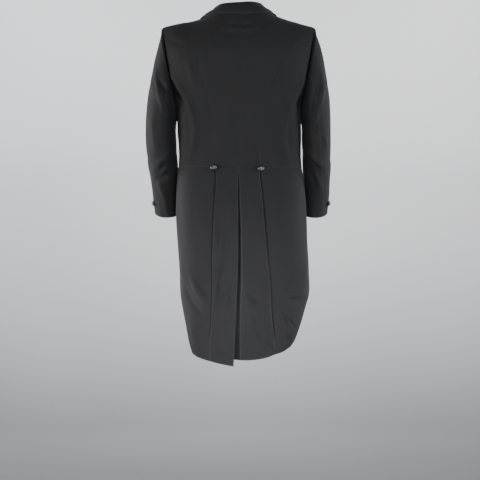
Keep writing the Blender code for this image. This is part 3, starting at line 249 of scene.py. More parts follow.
def roundness(angle):
    a = np.radians(angle)
    return (np.sin(a) + SQUARENESS * np.sin(3 * a)) / (1 - SQUARENESS)


def angle_at(x, height, front=False):
    """The angle round the body of the place x from the middle, on the back or on the front."""
    x = np.asarray(x, float)
    half_width = np.where(x >= 0, body_column("left", height), body_column("right", height))
    angle = np.interp(np.abs(x) / half_width, roundness(QUARTER), QUARTER)
    if front:
        angle = 180 - angle
    return np.where(x >= 0, angle, -angle)


def fold_height(x, z):
    total = np.zeros_like(x)
    for fold in BODY_FOLDS:
        line = smooth_curve([(fold.x1, fold.z1), (fold.x2, fold.z2), (fold.x3, fold.z3)], 12)
        share = np.linspace(0, 1, len(line))
        away = np.hypot(x[..., None] - line[:, 0], z[..., None] - line[:, 1])
        along = np.sin(np.pi * (FOLD_END + (1 - 2 * FOLD_END) * share))
        total += fold.height * (np.exp(-(away / fold.spread) ** 2) * along).max(axis=-1)
    return total


def body_point(angle, height):
    """Places on the outside of the cloth."""
    angle, height = np.broadcast_arrays(np.asarray(angle, float), np.asarray(height, float))
    turn = np.radians(np.abs(angle))
    half_width = np.where(angle >= 0, body_column("left", height), body_column("right", height))
    x = np.sign(angle) * half_width * roundness(np.minimum(np.abs(angle), 180 - np.abs(angle)))
    middle = body_column("middle", height)
    behind = np.cos(turn) >= 0
    depth = np.where(behind, body_column("back", height) - middle, middle - body_column("front", height))
    y = middle + depth * (np.cos(turn) - SQUARENESS * np.cos(3 * turn)) / (1 - SQUARENESS)
    y = y + np.where(behind, fold_height(x, height), 0)
    out = np.where(behind, np.abs(x), np.maximum(np.abs(x), NECK_HALF_WIDTH))
    drop = np.clip((top_edge("z", out) - height) / np.where(behind, BACK_ROUND, FRONT_ROUND), 0, 1)
    power = ROLL_AT_MIDDLE + (ROLL_AT_SHOULDER - ROLL_AT_MIDDLE) * np.clip(out / NECK_HALF_WIDTH, 0, 1) ** 2
    roll = np.maximum(1 - (1 - drop) ** 2, 0) ** power
    y = top_edge("y", out) + (y - top_edge("y", out)) * roll
    return np.stack([x, y, height], axis=-1)


def patch(top, bottom, inner, outer):
    """Fills four edges, each a row of (angle, height), and returns places in [row][column]."""
    def share(*lines):
        travels = [travel_along(line, (ROUND_SCALE, 1.0)) for line in lines]
        return sum(travel / travel[-1] for travel in travels) / len(lines)
    u = share(top, bottom)[None, :, None]
    v = share(inner, outer)[:, None, None]
    corners = ((1 - u) * (1 - v) * top[0] + u * (1 - v) * top[-1]
               + (1 - u) * v * bottom[0] + u * v * bottom[-1])
    return (1 - v) * top[None] + v * bottom[None] + (1 - u) * inner[:, None] + u * outer[:, None] - corners


def grid_normals(points, outward=True):
    """Directions square to a grid, away from the Z axis or, with outward false, towards it."""
    normal = np.cross(np.gradient(points, axis=0), np.gradient(points, axis=1))
    normal /= np.linalg.norm(normal, axis=-1, keepdims=True)
    from_axis = points * np.array([1, 1, 0])
    return normal if (np.sum(normal * from_axis) > 0) == outward else -normal


def turned(values, edge):
    """The grid with the named edge as its first row. Turning it again undoes it for top and inner."""
    if edge in ("inner", "outer"):
        values = np.swapaxes(values, 0, 1)
    return values[::-1] if edge in ("bottom", "outer") else values


def turned_back(values, edge):
    values = values[::-1] if edge in ("bottom", "outer") else values
    return np.swapaxes(values, 0, 1) if edge in ("inner", "outer") else values


def from_edge(points, edge):
    """How far each point lies from one edge of its grid, along the cloth."""
    grid = turned(points, edge)
    steps = np.linalg.norm(np.diff(grid, axis=0), axis=-1)
    return turned_back(np.concatenate([np.zeros((1, grid.shape[1])), np.cumsum(steps, axis=0)]), edge)


def drawn_in(points, edge, amount):
    """Moves one edge inwards along the cloth, which leaves its half of the seam's gap."""
    grid = turned(points, edge).copy()
    inwards = grid[1] - grid[0]
    length = np.linalg.norm(inwards, axis=-1, keepdims=True)
    grid[0] += inwards / np.maximum(length, 1e-9) * np.minimum(amount, length * 0.4)
    return turned_back(grid, edge)


def edge_lines(points, edge):
    """Adds the extra lines beside an edge, so that its seam or fold can be crisp."""
    grid = turned(points, edge)
    inwards = grid[1] - grid[0]
    length = np.linalg.norm(inwards, axis=-1, keepdims=True)
    extra = [grid[0] + inwards * np.minimum(reach / length, 0.3 + 0.3 * k)
             for k, reach in enumerate(SEAM_LINES)]
    return turned_back(np.concatenate([grid[:1], extra, grid[1:]]), edge)


def eased(value):
    value = np.clip(value, 0, 1)
    return value * value * (3 - 2 * value)


def right_rise(x, z):
    """How much higher a place of the right shoulder or collar stands than on an even coat."""
    comes = eased((-x - RISE_FROM) / (RISE_FULL - RISE_FROM))
    goes = 1 - eased((-x - RISE_FADES) / (RISE_ENDS - RISE_FADES))
    return RIGHT_RISE * comes * goes * eased((z - RISE_BOTTOM) / (RISE_TOP - RISE_BOTTOM))


def creased(points, normals, creases):
    """Moves a grid's points along their normals, out at ridges and in at troughs."""
    lift = np.zeros(points.shape[:2])
    for crease in creases:
        looks, across = FACING[crease.faces]
        line = smooth_curve([(crease.a1, crease.z1), (crease.a2, crease.z2), (crease.a3, crease.z3)], 10)
        share = np.linspace(0, 1, len(line))
        taper = np.sin(np.pi * (0.06 + 0.88 * share)) ** 0.8 * (1 + 0.22 * np.sin(9 * share + crease.a1 * 70))
        dx, dz = points[..., None, across] - line[:, 0], points[..., None, 2] - line[:, 1]
        steps = np.gradient(line, axis=0)
        side = dx * steps[:, 1] - dz * steps[:, 0]
        spread = crease.spread * np.where(side > 0, 1.25, 0.75)
        near = np.exp(-(np.hypot(dx, dz) / spread) ** 2) * taper
        seen = eased((normals @ np.array(looks, float)) * 1.6 + 0.1)
        lift += crease.height * near.max(axis=-1) * seen
    return points + normals * lift[..., None]


def panel(points, seams=(), folds=(), creases=(), outward=True, extra=None):
    """A panel's points with its seams dipped, its folded edges pressed, and its creases.

    Returns points, normals, and how strongly each point is pressed, which also lightens the wool's colour as a
    painted highlight.
    """
    for edge in seams:
        points = drawn_in(points, edge, SEAM_GAP / 2)
    for edge in (*seams, *folds):
        points = edge_lines(points, edge)
    points = creased(points, grid_normals(points, outward), creases)
    normals = grid_normals(points, outward)
    # the pressed mask also paints a highlight into the wool's colour along seams and folded edges
    lift, pressed_highlight = np.zeros(points.shape[:2]), np.zeros(points.shape[:2])
    for edge in seams:
        away = from_edge(points, edge)
        lift -= SEAM_ROLL * (1 - eased(away / 0.0026))
        pressed_highlight = np.maximum(pressed_highlight, 0.5 * (1 - eased(away / 0.006)))
    for edge in folds:
        away = from_edge(points, edge)
        lift += PRESSED_RISE * (1 - eased(away / PRESSED_BAND)) * eased(away / 0.0008)
        pressed_highlight = np.maximum(pressed_highlight, 1 - eased((away - 0.001) / 0.006))
    if extra is not None:
        lift += extra(points)
    return points + normals * lift[..., None], normals, pressed_highlight


def shell(name, panels, node, finish, thickness=CLOTH):
    """One thin closed shell from the outer points of its panels, which join where they meet."""
    found, places, faces, corners = {}, [], [], []
    for points, normals, pressed_highlight in panels:
        along = from_edge(points, "top")
        around = from_edge(points, "inner")
        facing = np.sum(np.cross(np.gradient(points, axis=0), np.gradient(points, axis=1)) * normals) > 0
        index = np.zeros(points.shape[:2], int)
        for r, c in np.ndindex(*index.shape):
            key = tuple(np.round(points[r, c], 6))
            if key not in found:
                found[key] = len(places)
                places.append((points[r, c], pressed_highlight[r, c]))
            index[r, c] = found[key]
        for r, c in np.ndindex(index.shape[0] - 1, index.shape[1] - 1):
            loop = [(r, c), (r + 1, c), (r + 1, c + 1), (r, c + 1)]
            loop = loop if facing else loop[::-1]
            if len({index[k] for k in loop}) == 4:
                faces.append([int(index[k]) for k in loop])
                corners += [(around[k], -along[k]) for k in loop]
    mesh = bpy.data.meshes.new(name)
    outer = np.array([point for point, _ in places])
    outer[:, 2] += right_rise(outer[:, 0], outer[:, 2])
    mesh.from_pydata(outer.tolist(), [], faces)
    cloth_map = mesh.uv_layers.new(name="cloth")
    cloth_map.data.foreach_set("uv", np.array(corners, float).ravel())
    # the pressed mask, carried as an attribute, paints a highlight into the wool's colour
    pressed_highlight_layer = mesh.attributes.new("pressed_highlight", "FLOAT", "POINT")
    pressed_highlight_layer.data.foreach_set("value", np.clip([p for _, p in places], 0, 1))
    made = bpy.data.objects.new(name, mesh)
    bpy.context.scene.collection.objects.link(made)
    made.data.materials.append(finish)
    bpy.context.view_layer.objects.active = made
    made.select_set(True)
    wall = made.modifiers.new("wall", "SOLIDIFY")
    wall.thickness, wall.offset = thickness, -1
    rim = made.modifiers.new("rim", "BEVEL")
    rim.width, rim.segments, rim.limit_method, rim.angle_limit = thickness * 0.32, 2, "ANGLE", np.radians(60)
    for modifier in ("wall", "rim"):
        bpy.ops.object.modifier_apply(modifier=modifier)
    bpy.ops.object.shade_smooth_by_angle(angle=np.radians(50))
    made.select_set(False)
    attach(made, "root")
    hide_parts(node)
    return made


def on_body(line, side, front=False):
    """Places given as distances out, as (angle, height) on the back or the front of one side."""
    way = 1 if side == "left" else -1
    return np.stack([angle_at(way * line[:, 0], line[:, 1], front=front), line[:, 1]], axis=1)


def back_grids(side):
    """Outer points of a back with its tail and, on the right one, of the vent's underlap."""
    way = 1 if side == "left" else -1
    crowded = np.linspace(0, 1, ARMHOLE_ROWS + 1) ** SHOULDER_CROWDING
    outer = np.vstack([on_body(placed(BACK_ARMHOLE, crowded), side),
                       on_body(spaced(SIDE_BODY_SEAM[side], SEAM_ROWS), side)[1:],
                       on_body(spaced(PLEAT_LINE[side], TAIL_ROWS), side)[1:]])
    waist = ARMHOLE_ROWS + SEAM_ROWS
    centre_line, vent_line = smooth_curve(CENTRE_SEAM), smooth_curve(VENT_EDGE[side])
    shared = spaced(SIDE_BODY_SEAM["left"], SEAM_ROWS)
    heights = outer[:, 1].copy()
    heights[ARMHOLE_ROWS:waist + 1] = shared[:, 1] - ROW_FALL * (1 - (shared[:, 0] / shared[0, 0]) ** 2)
    heights[:ARMHOLE_ROWS] = CENTRE_SEAM[0].z + (heights[ARMHOLE_ROWS] - CENTRE_SEAM[0].z) * crowded[:-1]
    tail = np.linspace(0, 1, TAIL_ROWS + 1)
    heights[waist:] = CENTRE_SEAM[-1].z + (VENT_EDGE[side][-1].z - CENTRE_SEAM[-1].z) * tail
    x = np.concatenate([np.interp(-heights[:waist + 1], -centre_line[:, 1], centre_line[:, 0]),
                        np.interp(-heights[waist + 1:], -vent_line[:, 1], vent_line[:, 0])])
    inner = np.stack([angle_at(x, heights), heights], axis=1)
    out = np.concatenate([np.linspace(0, NECK_HALF_WIDTH, NECK_COLUMNS + 1)[:-1],
                          np.linspace(NECK_HALF_WIDTH, SHOULDER_HALF_WIDTH, BACK_COLUMNS - NECK_COLUMNS + 1)])
    top = on_body(np.stack([out, top_edge("z", out)], axis=1), side)
    hem = spaced(TAIL_HEM[side], BACK_COLUMNS)
    hem_x = hem[:, 0] * way
    hem_x[0] = VENT_EDGE[side][-1].out
    bottom = np.stack([angle_at(hem_x, hem[:, 1]), hem[:, 1]], axis=1)
    top[0], top[-1], bottom[0], bottom[-1] = inner[0], outer[0], inner[-1], outer[-1]
    places = patch(top, bottom, inner, outer)
    return body_point(places[..., 0], places[..., 1]), waist


def back_lift(side):
    """What a back has besides its creases: the seams dip, and the tail's two edges are pressed folds."""
    def lift(points):
        inner, outer, hem = (from_edge(points, edge) for edge in ("inner", "outer", "bottom"))
        above = eased((points[..., 2] + 0.488) / 0.006)
        dip = 0.3 * (1 - eased(inner / 0.0026)) + 0.8 * (1 - eased(outer / 0.0026))
        band = sum((1 - eased(away / PRESSED_BAND)) * eased(away / 0.0008)
                   for away in (inner, outer, hem))
        ridge = 1.0 if side == "left" else 0.35
        return -SEAM_ROLL * dip * above + PRESSED_RISE * band * (1 - above) * ridge
    return lift


def tail_pressed_highlight(points, pressed_highlight):
    """Pressed lines along the vent's edge, the side pleat and the hem, below the waist only, which the wool paints
    lighter as a painted highlight.
    """
    below = 1 - eased((points[..., 2] + 0.488) / 0.006)
    for edge in ("inner", "outer", "bottom"):
        away = from_edge(points, edge)
        pressed_highlight = np.maximum(pressed_highlight, (1 - eased((away - 0.001) / 0.005)) * below)
    return pressed_highlight


class Wire:
    """A shader value that Python's operators can work on, each adding its Math node."""

    def __init__(self, tree, socket):
        self.tree, self.socket = tree, socket

    def node(self, kind, settings=(), **values):
        made = self.tree.nodes.new("ShaderNode" + kind)
        for name, value in dict(settings).items():
            setattr(made, name, value)
        for name, value in values.items():
            socket = made.inputs[int(name[1:])] if name[0] == "i" and name[1:].isdigit() else made.inputs[name]
            if isinstance(value, Wire):
                self.tree.links.new(value.socket, socket)
            else:
                socket.default_value = value
        return made

    def out(self, kind, output, settings=(), **values):
        return Wire(self.tree, self.node(kind, settings, **values).outputs[output])

    def maths(self, operation, *values):
        return self.out("Math", 0, {"operation": operation}, **{f"i{k}": v for k, v in enumerate(values)})

    def __add__(self, other):
        return self.maths("ADD", self, other)

    def __sub__(self, other):
        return self.maths("SUBTRACT", self, other)

    def __rsub__(self, other):
        return self.maths("SUBTRACT", other, self)

    def __mul__(self, other):
        return self.maths("MULTIPLY", self, other)

    def __truediv__(self, other):
        return self.maths("DIVIDE", self, other)

    def __pow__(self, other):
        return self.maths("POWER", self, other)

    __radd__, __rmul__ = __add__, __mul__

    def sin(self):
        return self.maths("SINE", self)

    def clamped(self):
        return self.out("Clamp", 0, Value=self)

    def mixed(self, low, high):
        """A colour from low to high as this value goes from 0 to 1."""
        mix = self.node("Mix", {"data_type": "RGBA"}, i0=self, i6=(*low, 1), i7=(*high, 1))
        return Wire(self.tree, mix.outputs[2])


def new_finish(name):
    """A new material, its shader, and a first wire to build from."""
    made = bpy.data.materials.new(name)
    made.use_nodes = True
    return made, made.node_tree.nodes["Principled BSDF"], Wire(made.node_tree, None)


def connect(start, shader, colour, roughness, height, depth):
    links = start.tree.links
    links.new(colour.socket, shader.inputs["Base Color"])
    links.new(roughness.socket, shader.inputs["Roughness"])
    bump = start.node("Bump", Height=height, Strength=1.0, Distance=depth)
    links.new(bump.outputs[0], shader.inputs["Normal"])


def wool_twill():
    """Black dress wool: a steep fine twill, matt with a dry sheen, a little flattened where it is pressed, and with a
    painted highlight that lightens its colour along pressed edges and seams.
    """
    made, shader, start = new_finish("black_wool_twill")
    place = start.out("UVMap", "UV", {"uv_map": "cloth"})
    split = start.node("SeparateXYZ", i0=place)
    u, v = Wire(start.tree, split.outputs[0]), Wire(start.tree, split.outputs[1])
    pressed_highlight = start.out("Attribute", "Fac", {"attribute_name": "pressed_highlight"})
    yarn_pitch, rib_pitch = 0.00055, 0.0011
    wander = start.out("TexNoise", 0, Vector=place, Scale=140.0, Detail=2.0)
    rib = ((u + v * 0.5 + wander * 0.00025) * (6.2832 / rib_pitch)).sin() * 0.5 + 0.5
    yarn = (u * (6.2832 / yarn_pitch)).sin() * 0.5 + 0.5
    cross = (v * (6.2832 / yarn_pitch)).sin() * 0.5 + 0.5
    weave = rib * 0.6 + yarn * 0.25 + cross * 0.15
    slub = start.out("TexNoise", 0, Vector=place, Scale=900.0, Detail=3.0)
    nap = start.out("TexNoise", 0, Vector=place, Scale=2600.0, Detail=2.0)
    cloud = start.out("TexNoise", 0, Vector=place, Scale=9.0, Detail=3.0)
    # painted highlight: the pressed mask lightens the colour along pressed edges, seams, the vent and the pleats
    tone = (weave * 0.45 + slub * 0.25 + cloud * 0.3 + pressed_highlight * 0.35).clamped()
    colour = tone.mixed((0.0105, 0.0105, 0.0115), (0.0300, 0.0302, 0.0318))
    roughness = 0.86 + (slub - 0.5) * 0.14 - pressed_highlight * 0.16
    height = weave * 0.55 + slub * 0.3 + nap * 0.15
    connect(start, shader, colour, roughness, height, 0.00012)
    shader.inputs["Specular IOR Level"].default_value = 0.22
    shader.inputs["Sheen Weight"].default_value = 0.06
    shader.inputs["Sheen Roughness"].default_value = 0.42
    shader.inputs["Sheen Tint"].default_value = (0.80, 0.83, 0.90, 1)
    return made


wool = wool_twill()
for side in ("left", "right"):
    points, waist = back_grids(side)
    for edge in ("inner", "outer"):
        points = drawn_in(points, edge, SEAM_GAP / 2)
    points = drawn_in(points, "top", SEAM_GAP / 2)
    for edge in ("inner", "outer", "bottom"):
        points = edge_lines(points, edge)
    points, normals, pressed_highlight = panel(points, creases=BACK_CREASES[side], extra=back_lift(side))
    panels = [(points, normals, tail_pressed_highlight(points, pressed_highlight))]
    if side == "right":
        fold = points[waist + 1:, 0]
        left_line = smooth_curve(VENT_EDGE["left"])
        left_edge = np.interp(-fold[:, 2], -left_line[:, 1], left_line[:, 0])
        columns = [fold]
        gap = np.maximum(left_edge - fold[:, 0], 0.0)
        sunk = np.minimum(VENT_SUNK, 0.003 + 3.2 * gap)
        across = [(fold[:, 0] + gap * share, sunk * share ** 0.8) for share in (0.08, 0.2, 0.4, 0.6, 0.8, 1.0)]
        across += [(left_edge + VENT_UNDERLAP * share, sunk + (0.005 - sunk) * share)
                   for share in np.linspace(0.1, 1, 10)]
        for x, sink in across:
            angle = angle_at(x, fold[:, 2])
            line = body_point(angle, fold[:, 2])
            line[:, 1] -= sink
            columns.append(line)
        underlap = np.stack(columns, axis=1)
        panels.append((underlap, grid_normals(underlap), np.zeros(underlap.shape[:2])))
    back = shell(f"back_{side}_cloth", panels, f"back_{side}", wool)

# ------------------------------------------------------------------ Side bodies
# A panel of the same wool under each arm, from the armhole down to the waist. Its long curved seam
# with the back shapes the coat, and the straight one in front of it joins it to the forepart.
BACK_ARMHOLE_LOW = [Seam(0.2305, -0.105), Seam(0.2250, -0.145), Seam(0.2165, -0.192), Seam(0.2090, -0.232)]
SIDE_SEAM = [Edge(SIDE_SEAM_ANGLE, ARMHOLE_BOTTOM), Edge(SIDE_SEAM_ANGLE, SIDE_SEAM_MIDDLE),
             Edge(SIDE_SEAM_ANGLE, SIDE_WAIST)]
UNDERARM = [Edge(76.0, -0.2570), Edge(SIDE_SEAM_ANGLE, ARMHOLE_BOTTOM)]
SIDE_COLUMNS = 40
SIDE_BODY_CREASES = {
    "left": [
        Crease("back", 0.214, -0.192, 0.187, -0.230, 0.165, -0.273, 0.0085, 0.0072),
        Crease("back", 0.168, -0.268, 0.148, -0.318, 0.139, -0.362, 0.0090, 0.0065),
        Crease("back", 0.139, -0.355, 0.143, -0.409, 0.155, -0.452, 0.0090, 0.0047),
        Crease("back", 0.222, -0.222, 0.192, -0.262, 0.168, -0.318, 0.0110, -0.0089),
        Crease("back", 0.176, -0.280, 0.178, -0.330, 0.176, -0.390, 0.0140, -0.0052),
        Crease("back", 0.166, -0.318, 0.158, -0.362, 0.160, -0.405, 0.0100, -0.0059),
        Crease("back", 0.160, -0.150, 0.150, -0.190, 0.136, -0.232, 0.0110, 0.0039),
        Crease("left", 0.040, -0.276, 0.0, -0.272, -0.050, -0.276, 0.0130, 0.0060),
        Crease("left", 0.040, -0.330, 0.020, -0.372, 0.010, -0.420, 0.0120, 0.0018),
        Crease("left", 0.062, -0.430, 0.040, -0.446, 0.012, -0.452, 0.0080, -0.0014),
    ],
    "right": [
        Crease("back", -0.217, -0.192, -0.190, -0.228, -0.173, -0.273, 0.0080, 0.0065),
        Crease("back", -0.148, -0.262, -0.156, -0.290, -0.160, -0.314, 0.0065, 0.0042),
        Crease("back", -0.172, -0.268, -0.152, -0.320, -0.142, -0.372, 0.0100, 0.0054),
        Crease("back", -0.136, -0.380, -0.144, -0.428, -0.157, -0.468, 0.0080, 0.0054),
        Crease("back", -0.224, -0.228, -0.198, -0.266, -0.178, -0.318, 0.0110, -0.0084),
        Crease("back", -0.158, -0.330, -0.156, -0.380, -0.166, -0.430, 0.0100, -0.0054),
        Crease("right", 0.040, -0.276, 0.0, -0.272, -0.050, -0.276, 0.0130, 0.0060),
        Crease("right", 0.042, -0.335, 0.022, -0.376, 0.012, -0.424, 0.0120, 0.0018),
        Crease("right", 0.060, -0.434, 0.038, -0.448, 0.012, -0.455, 0.0080, -0.0014),
    ],
}


def round_edge(rows, side, count):
    """count + 1 places along an edge whose rows are angles round the body."""
    line = spaced(rows, count, (ROUND_SCALE, 1.0))
    line[:, 0] *= 1 if side == "left" else -1
    return line


def underarm(side):
    """The armhole's edge on the side body, from the side body seam to the side seam."""
    way = 1 if side == "left" else -1
    low = on_body(smooth_curve(BACK_ARMHOLE_LOW), "left")
    line = spaced(np.vstack([low, UNDERARM[1:]])[::12], 5, (ROUND_SCALE, 1.0))
    line[-1] = UNDERARM[-1]
    line[:, 0] *= way
    line[0] = on_body(smooth_curve(BACK_ARMHOLE_LOW), side)[0]
    return smooth_curve(line, SIDE_COLUMNS // 5)


def waist_seam_behind(side):
    """Waist seam from the side pleat's button to the side seam."""
    way = 1 if side == "left" else -1
    start = on_body(smooth_curve(SIDE_BODY_SEAM[side]), side)[-1]
    share = np.linspace(0, 1, SIDE_COLUMNS + 1)[:, None]
    return start * (1 - share) + np.array([SIDE_SEAM_ANGLE * way, SIDE_WAIST]) * share


for side in ("left", "right"):
    inner = on_body(spaced(SIDE_BODY_SEAM[side], SEAM_ROWS), side)
    places = patch(underarm(side), waist_seam_behind(side), inner, round_edge(SIDE_SEAM, side, SEAM_ROWS))
    sewn = panel(body_point(places[..., 0], places[..., 1]), seams=("inner", "outer", "top", "bottom"),
                 creases=SIDE_BODY_CREASES[side])
    side_body = shell(f"side_body_{side}_cloth", [sewn], f"side_body_{side}", wool)

# ------------------------------------------------------------------ Foreparts
# The two fronts of the same wool. They hang open, end at the waist in front, and run out to a blunt
# point below it. Their front edges are turned in and pressed.
FRONT_ARMHOLE = [Seam(SHOULDER_HALF_WIDTH, -0.0323), Seam(0.2260, -0.090), Seam(0.2130, -0.140),
                 Seam(0.2045, -0.190), Seam(0.2020, -0.225)]
FRONT_EDGE = [Seam(0.0860, 0.0118), Seam(0.0890, -0.0350), Seam(0.0880, -0.0900), Seam(0.0800, -0.2000),
              Seam(0.0680, -0.3200), Seam(0.0615, -0.3900), Seam(0.0640, -0.4450), Seam(0.0742, -0.4982)]
FRONT_WAIST = [Edge(SIDE_SEAM_ANGLE, SIDE_WAIST), Edge(113.0, -0.4800), Edge(SKIRT_START_ANGLE, -0.4900)]
FRONT_COLUMNS, POINT_COLUMNS, FRONT_ARMHOLE_ROWS, FRONT_SIDE_ROWS = 32, 28, 56, 56
FOREPART_CREASES = {
    "left": [
        Crease("front", 0.178, -0.330, 0.150, -0.380, 0.128, -0.430, 0.0140, 0.0022),
        Crease("front", 0.196, -0.260, 0.180, -0.300, 0.168, -0.350, 0.0130, 0.0022),
        Crease("front", 0.186, -0.440, 0.150, -0.452, 0.115, -0.458, 0.0090, -0.0018),
        Crease("front", 0.205, -0.120, 0.196, -0.160, 0.190, -0.205, 0.0100, -0.0016),
        Crease("front", 0.182, -0.100, 0.176, -0.150, 0.172, -0.200, 0.0120, 0.0014),
    ],
    "right": [
        Crease("front", -0.180, -0.320, -0.154, -0.372, -0.130, -0.424, 0.0140, 0.0022),
        Crease("front", -0.197, -0.255, -0.182, -0.300, -0.172, -0.345, 0.0130, 0.0020),
        Crease("front", -0.190, -0.436, -0.152, -0.450, -0.117, -0.455, 0.0090, -0.0018),
        Crease("front", -0.206, -0.125, -0.197, -0.165, -0.191, -0.210, 0.0100, -0.0016),
        Crease("front", -0.184, -0.108, -0.178, -0.155, -0.174, -0.205, 0.0120, 0.0014),
    ],
}
for side, way in (("left", 1), ("right", -1)):
    crowded = np.linspace(0, 1, FRONT_ARMHOLE_ROWS + 1) ** SHOULDER_CROWDING
    armhole = on_body(placed(FRONT_ARMHOLE, crowded), side, front=True)
    side_seam = round_edge(SIDE_SEAM, side, FRONT_SIDE_ROWS)
    share = np.linspace(0, 1, 13)[1:-1, None]
    outer = np.vstack([armhole, armhole[-1] * (1 - share) + side_seam[0] * share, side_seam])
    waist_line = round_edge(FRONT_WAIST, side, FRONT_COLUMNS)
    corner = FRONT_EDGE[-1]
    corner = np.array([float(angle_at(way * corner.out, corner.z, front=True)), corner.z])
    share = np.linspace(0, 1, POINT_COLUMNS + 1)[1:, None]
    bottom = np.vstack([waist_line, waist_line[-1] * (1 - share) + corner * share])[::-1]
    travel = travel_along(outer, (ROUND_SCALE, 1.0))
    inner = on_body(placed(FRONT_EDGE, travel / travel[-1]), side, front=True)
    out = np.linspace(NECK_HALF_WIDTH, SHOULDER_HALF_WIDTH, len(bottom))
    top = on_body(np.stack([out, top_edge("z", out)], axis=1), side, front=True)
    top[0], top[-1], bottom[0], bottom[-1] = inner[0], outer[0], inner[-1], outer[-1]
    places = patch(top, bottom, inner, outer)
    sewn = panel(body_point(places[..., 0], places[..., 1]), seams=("outer", "top", "bottom"),
                 folds=("inner",), creases=FOREPART_CREASES[side])
    forepart = shell(f"forepart_{side}_cloth", [sewn], f"forepart_{side}", wool)

# ------------------------------------------------------------------ Skirts
# The lower side panels of the same wool, sewn on at the waist. Each has an inlay folded in under the
# tail at the side pleat, and its front edge curves away from the waist down to the hem behind.
SKIRT_HEM = {
    "left": [Seam(0.0910, -1.0870), Seam(0.1070, -1.0830), Seam(0.1300, -1.0750), Seam(0.1425, -1.0660)],
    "right": [Seam(0.1150, -1.0665), Seam(0.1300, -1.0625), Seam(0.1425, -1.0570), Seam(0.1560, -1.0470)],
}
CUTAWAY = {
    "left": [Edge(135.0, -0.491), Edge(128.5, -0.550), Edge(120.0, -0.620), Edge(110.0, -0.700),
             Edge(99.0, -0.780), Edge(89.0, -0.850), Edge(78.0, -0.910), Edge(67.0, -0.975),
             Edge(58.5, -1.030), Edge(51.0, -1.066)],
    "right": [Edge(135.0, -0.491), Edge(128.5, -0.550), Edge(120.0, -0.620), Edge(110.0, -0.700),
              Edge(100.0, -0.780), Edge(90.0, -0.850), Edge(77.0, -0.900), Edge(66.5, -0.966),
              Edge(57.5, -1.018), Edge(47.0, -1.047)],
}
PLEAT_END = -1.016         # below this the pleat is caught down and lies flat
PLEAT_ROLL = 0.0032        # width over which the skirt folds in under the tail
SKIRT_CREASES = {
    "left": [
        Crease("back", 0.156, -0.812, 0.128, -0.874, 0.094, -0.918, 0.0080, 0.0064),
        Crease("back", 0.128, -0.846, 0.112, -0.872, 0.090, -0.888, 0.0045, -0.0064),
        Crease("back", 0.170, -0.850, 0.148, -0.900, 0.118, -0.940, 0.0090, -0.0048),
        Crease("back", 0.118, -0.560, 0.120, -0.640, 0.112, -0.720, 0.0170, 0.0031),
        Crease("back", 0.150, -0.950, 0.142, -1.000, 0.134, -1.055, 0.0110, 0.0038),
        Crease("left", 0.020, -0.540, 0.032, -0.620, 0.048, -0.700, 0.0160, 0.0022),
        Crease("left", 0.054, -0.560, 0.066, -0.640, 0.080, -0.730, 0.0160, -0.0020),
        Crease("left", 0.060, -0.770, 0.078, -0.820, 0.098, -0.870, 0.0140, 0.0024),
    ],
    "right": [
        Crease("back", -0.160, -0.895, -0.180, -0.899, -0.206, -0.897, 0.0045, -0.0080),
        Crease("back", -0.152, -0.874, -0.180, -0.880, -0.208, -0.882, 0.0080, 0.0040),
        Crease("back", -0.146, -0.952, -0.162, -0.966, -0.180, -0.992, 0.0045, -0.0064),
        Crease("back", -0.130, -0.938, -0.142, -0.955, -0.150, -0.975, 0.0050, -0.0048),
        Crease("back", -0.126, -1.054, -0.158, -1.034, -0.174, -1.002, 0.0080, 0.0052),
        Crease("back", -0.142, -1.000, -0.150, -1.018, -0.150, -1.036, 0.0080, -0.0040),
        Crease("back", -0.130, -0.560, -0.136, -0.650, -0.132, -0.740, 0.0180, 0.0031),
        Crease("right", 0.020, -0.540, 0.032, -0.625, 0.048, -0.710, 0.0160, 0.0022),
        Crease("right", 0.056, -0.560, 0.068, -0.645, 0.082, -0.735, 0.0160, -0.0020),
        Crease("right", 0.062, -0.780, 0.080, -0.830, 0.100, -0.875, 0.0140, 0.0024),
    ],
}
for side, way in (("left", 1), ("right", -1)):
    inner = on_body(spaced(PLEAT_LINE[side], TAIL_ROWS), side)
    top = np.vstack([waist_seam_behind(side), round_edge(FRONT_WAIST, side, FRONT_COLUMNS)[1:]])
    outer = round_edge(CUTAWAY[side], side, TAIL_ROWS)
    bottom = on_body(spaced(SKIRT_HEM[side], len(top) - 1), side)
    outer[0], bottom[-1] = top[-1], outer[-1]
    places = patch(top, bottom, inner, outer)

    def folded_in(points):
        closed = eased((points[..., 2] - PLEAT_END) / 0.014)
        return -PLEAT_DEPTH * closed * (1 - eased(from_edge(points, "inner") / PLEAT_ROLL)) ** 0.8

    points = edge_lines(drawn_in(body_point(places[..., 0], places[..., 1]), "top", SEAM_GAP / 2), "inner")
    points, normals, pressed_highlight = panel(points, seams=("top",), folds=("outer", "bottom"),
                                     creases=SKIRT_CREASES[side], extra=folded_in)
    fold = points[:, 0]
    columns = [fold]
    pleat_curve = smooth_curve(PLEAT_LINE[side])
    for share in np.linspace(0.12, 1, 9):
        line = body_point(angle_at(fold[:, 0] - way * PLEAT_INLAY * share, fold[:, 2]), fold[:, 2])
        line[:, 1] -= PLEAT_DEPTH
        columns.append(line)
    inlay = np.stack(columns, axis=1)
    skirt = shell(f"skirt_{side}_cloth", [(points, normals, pressed_highlight),
                                          (inlay, grid_normals(inlay), np.zeros(inlay.shape[:2]))],
                  f"skirt_{side}", wool)

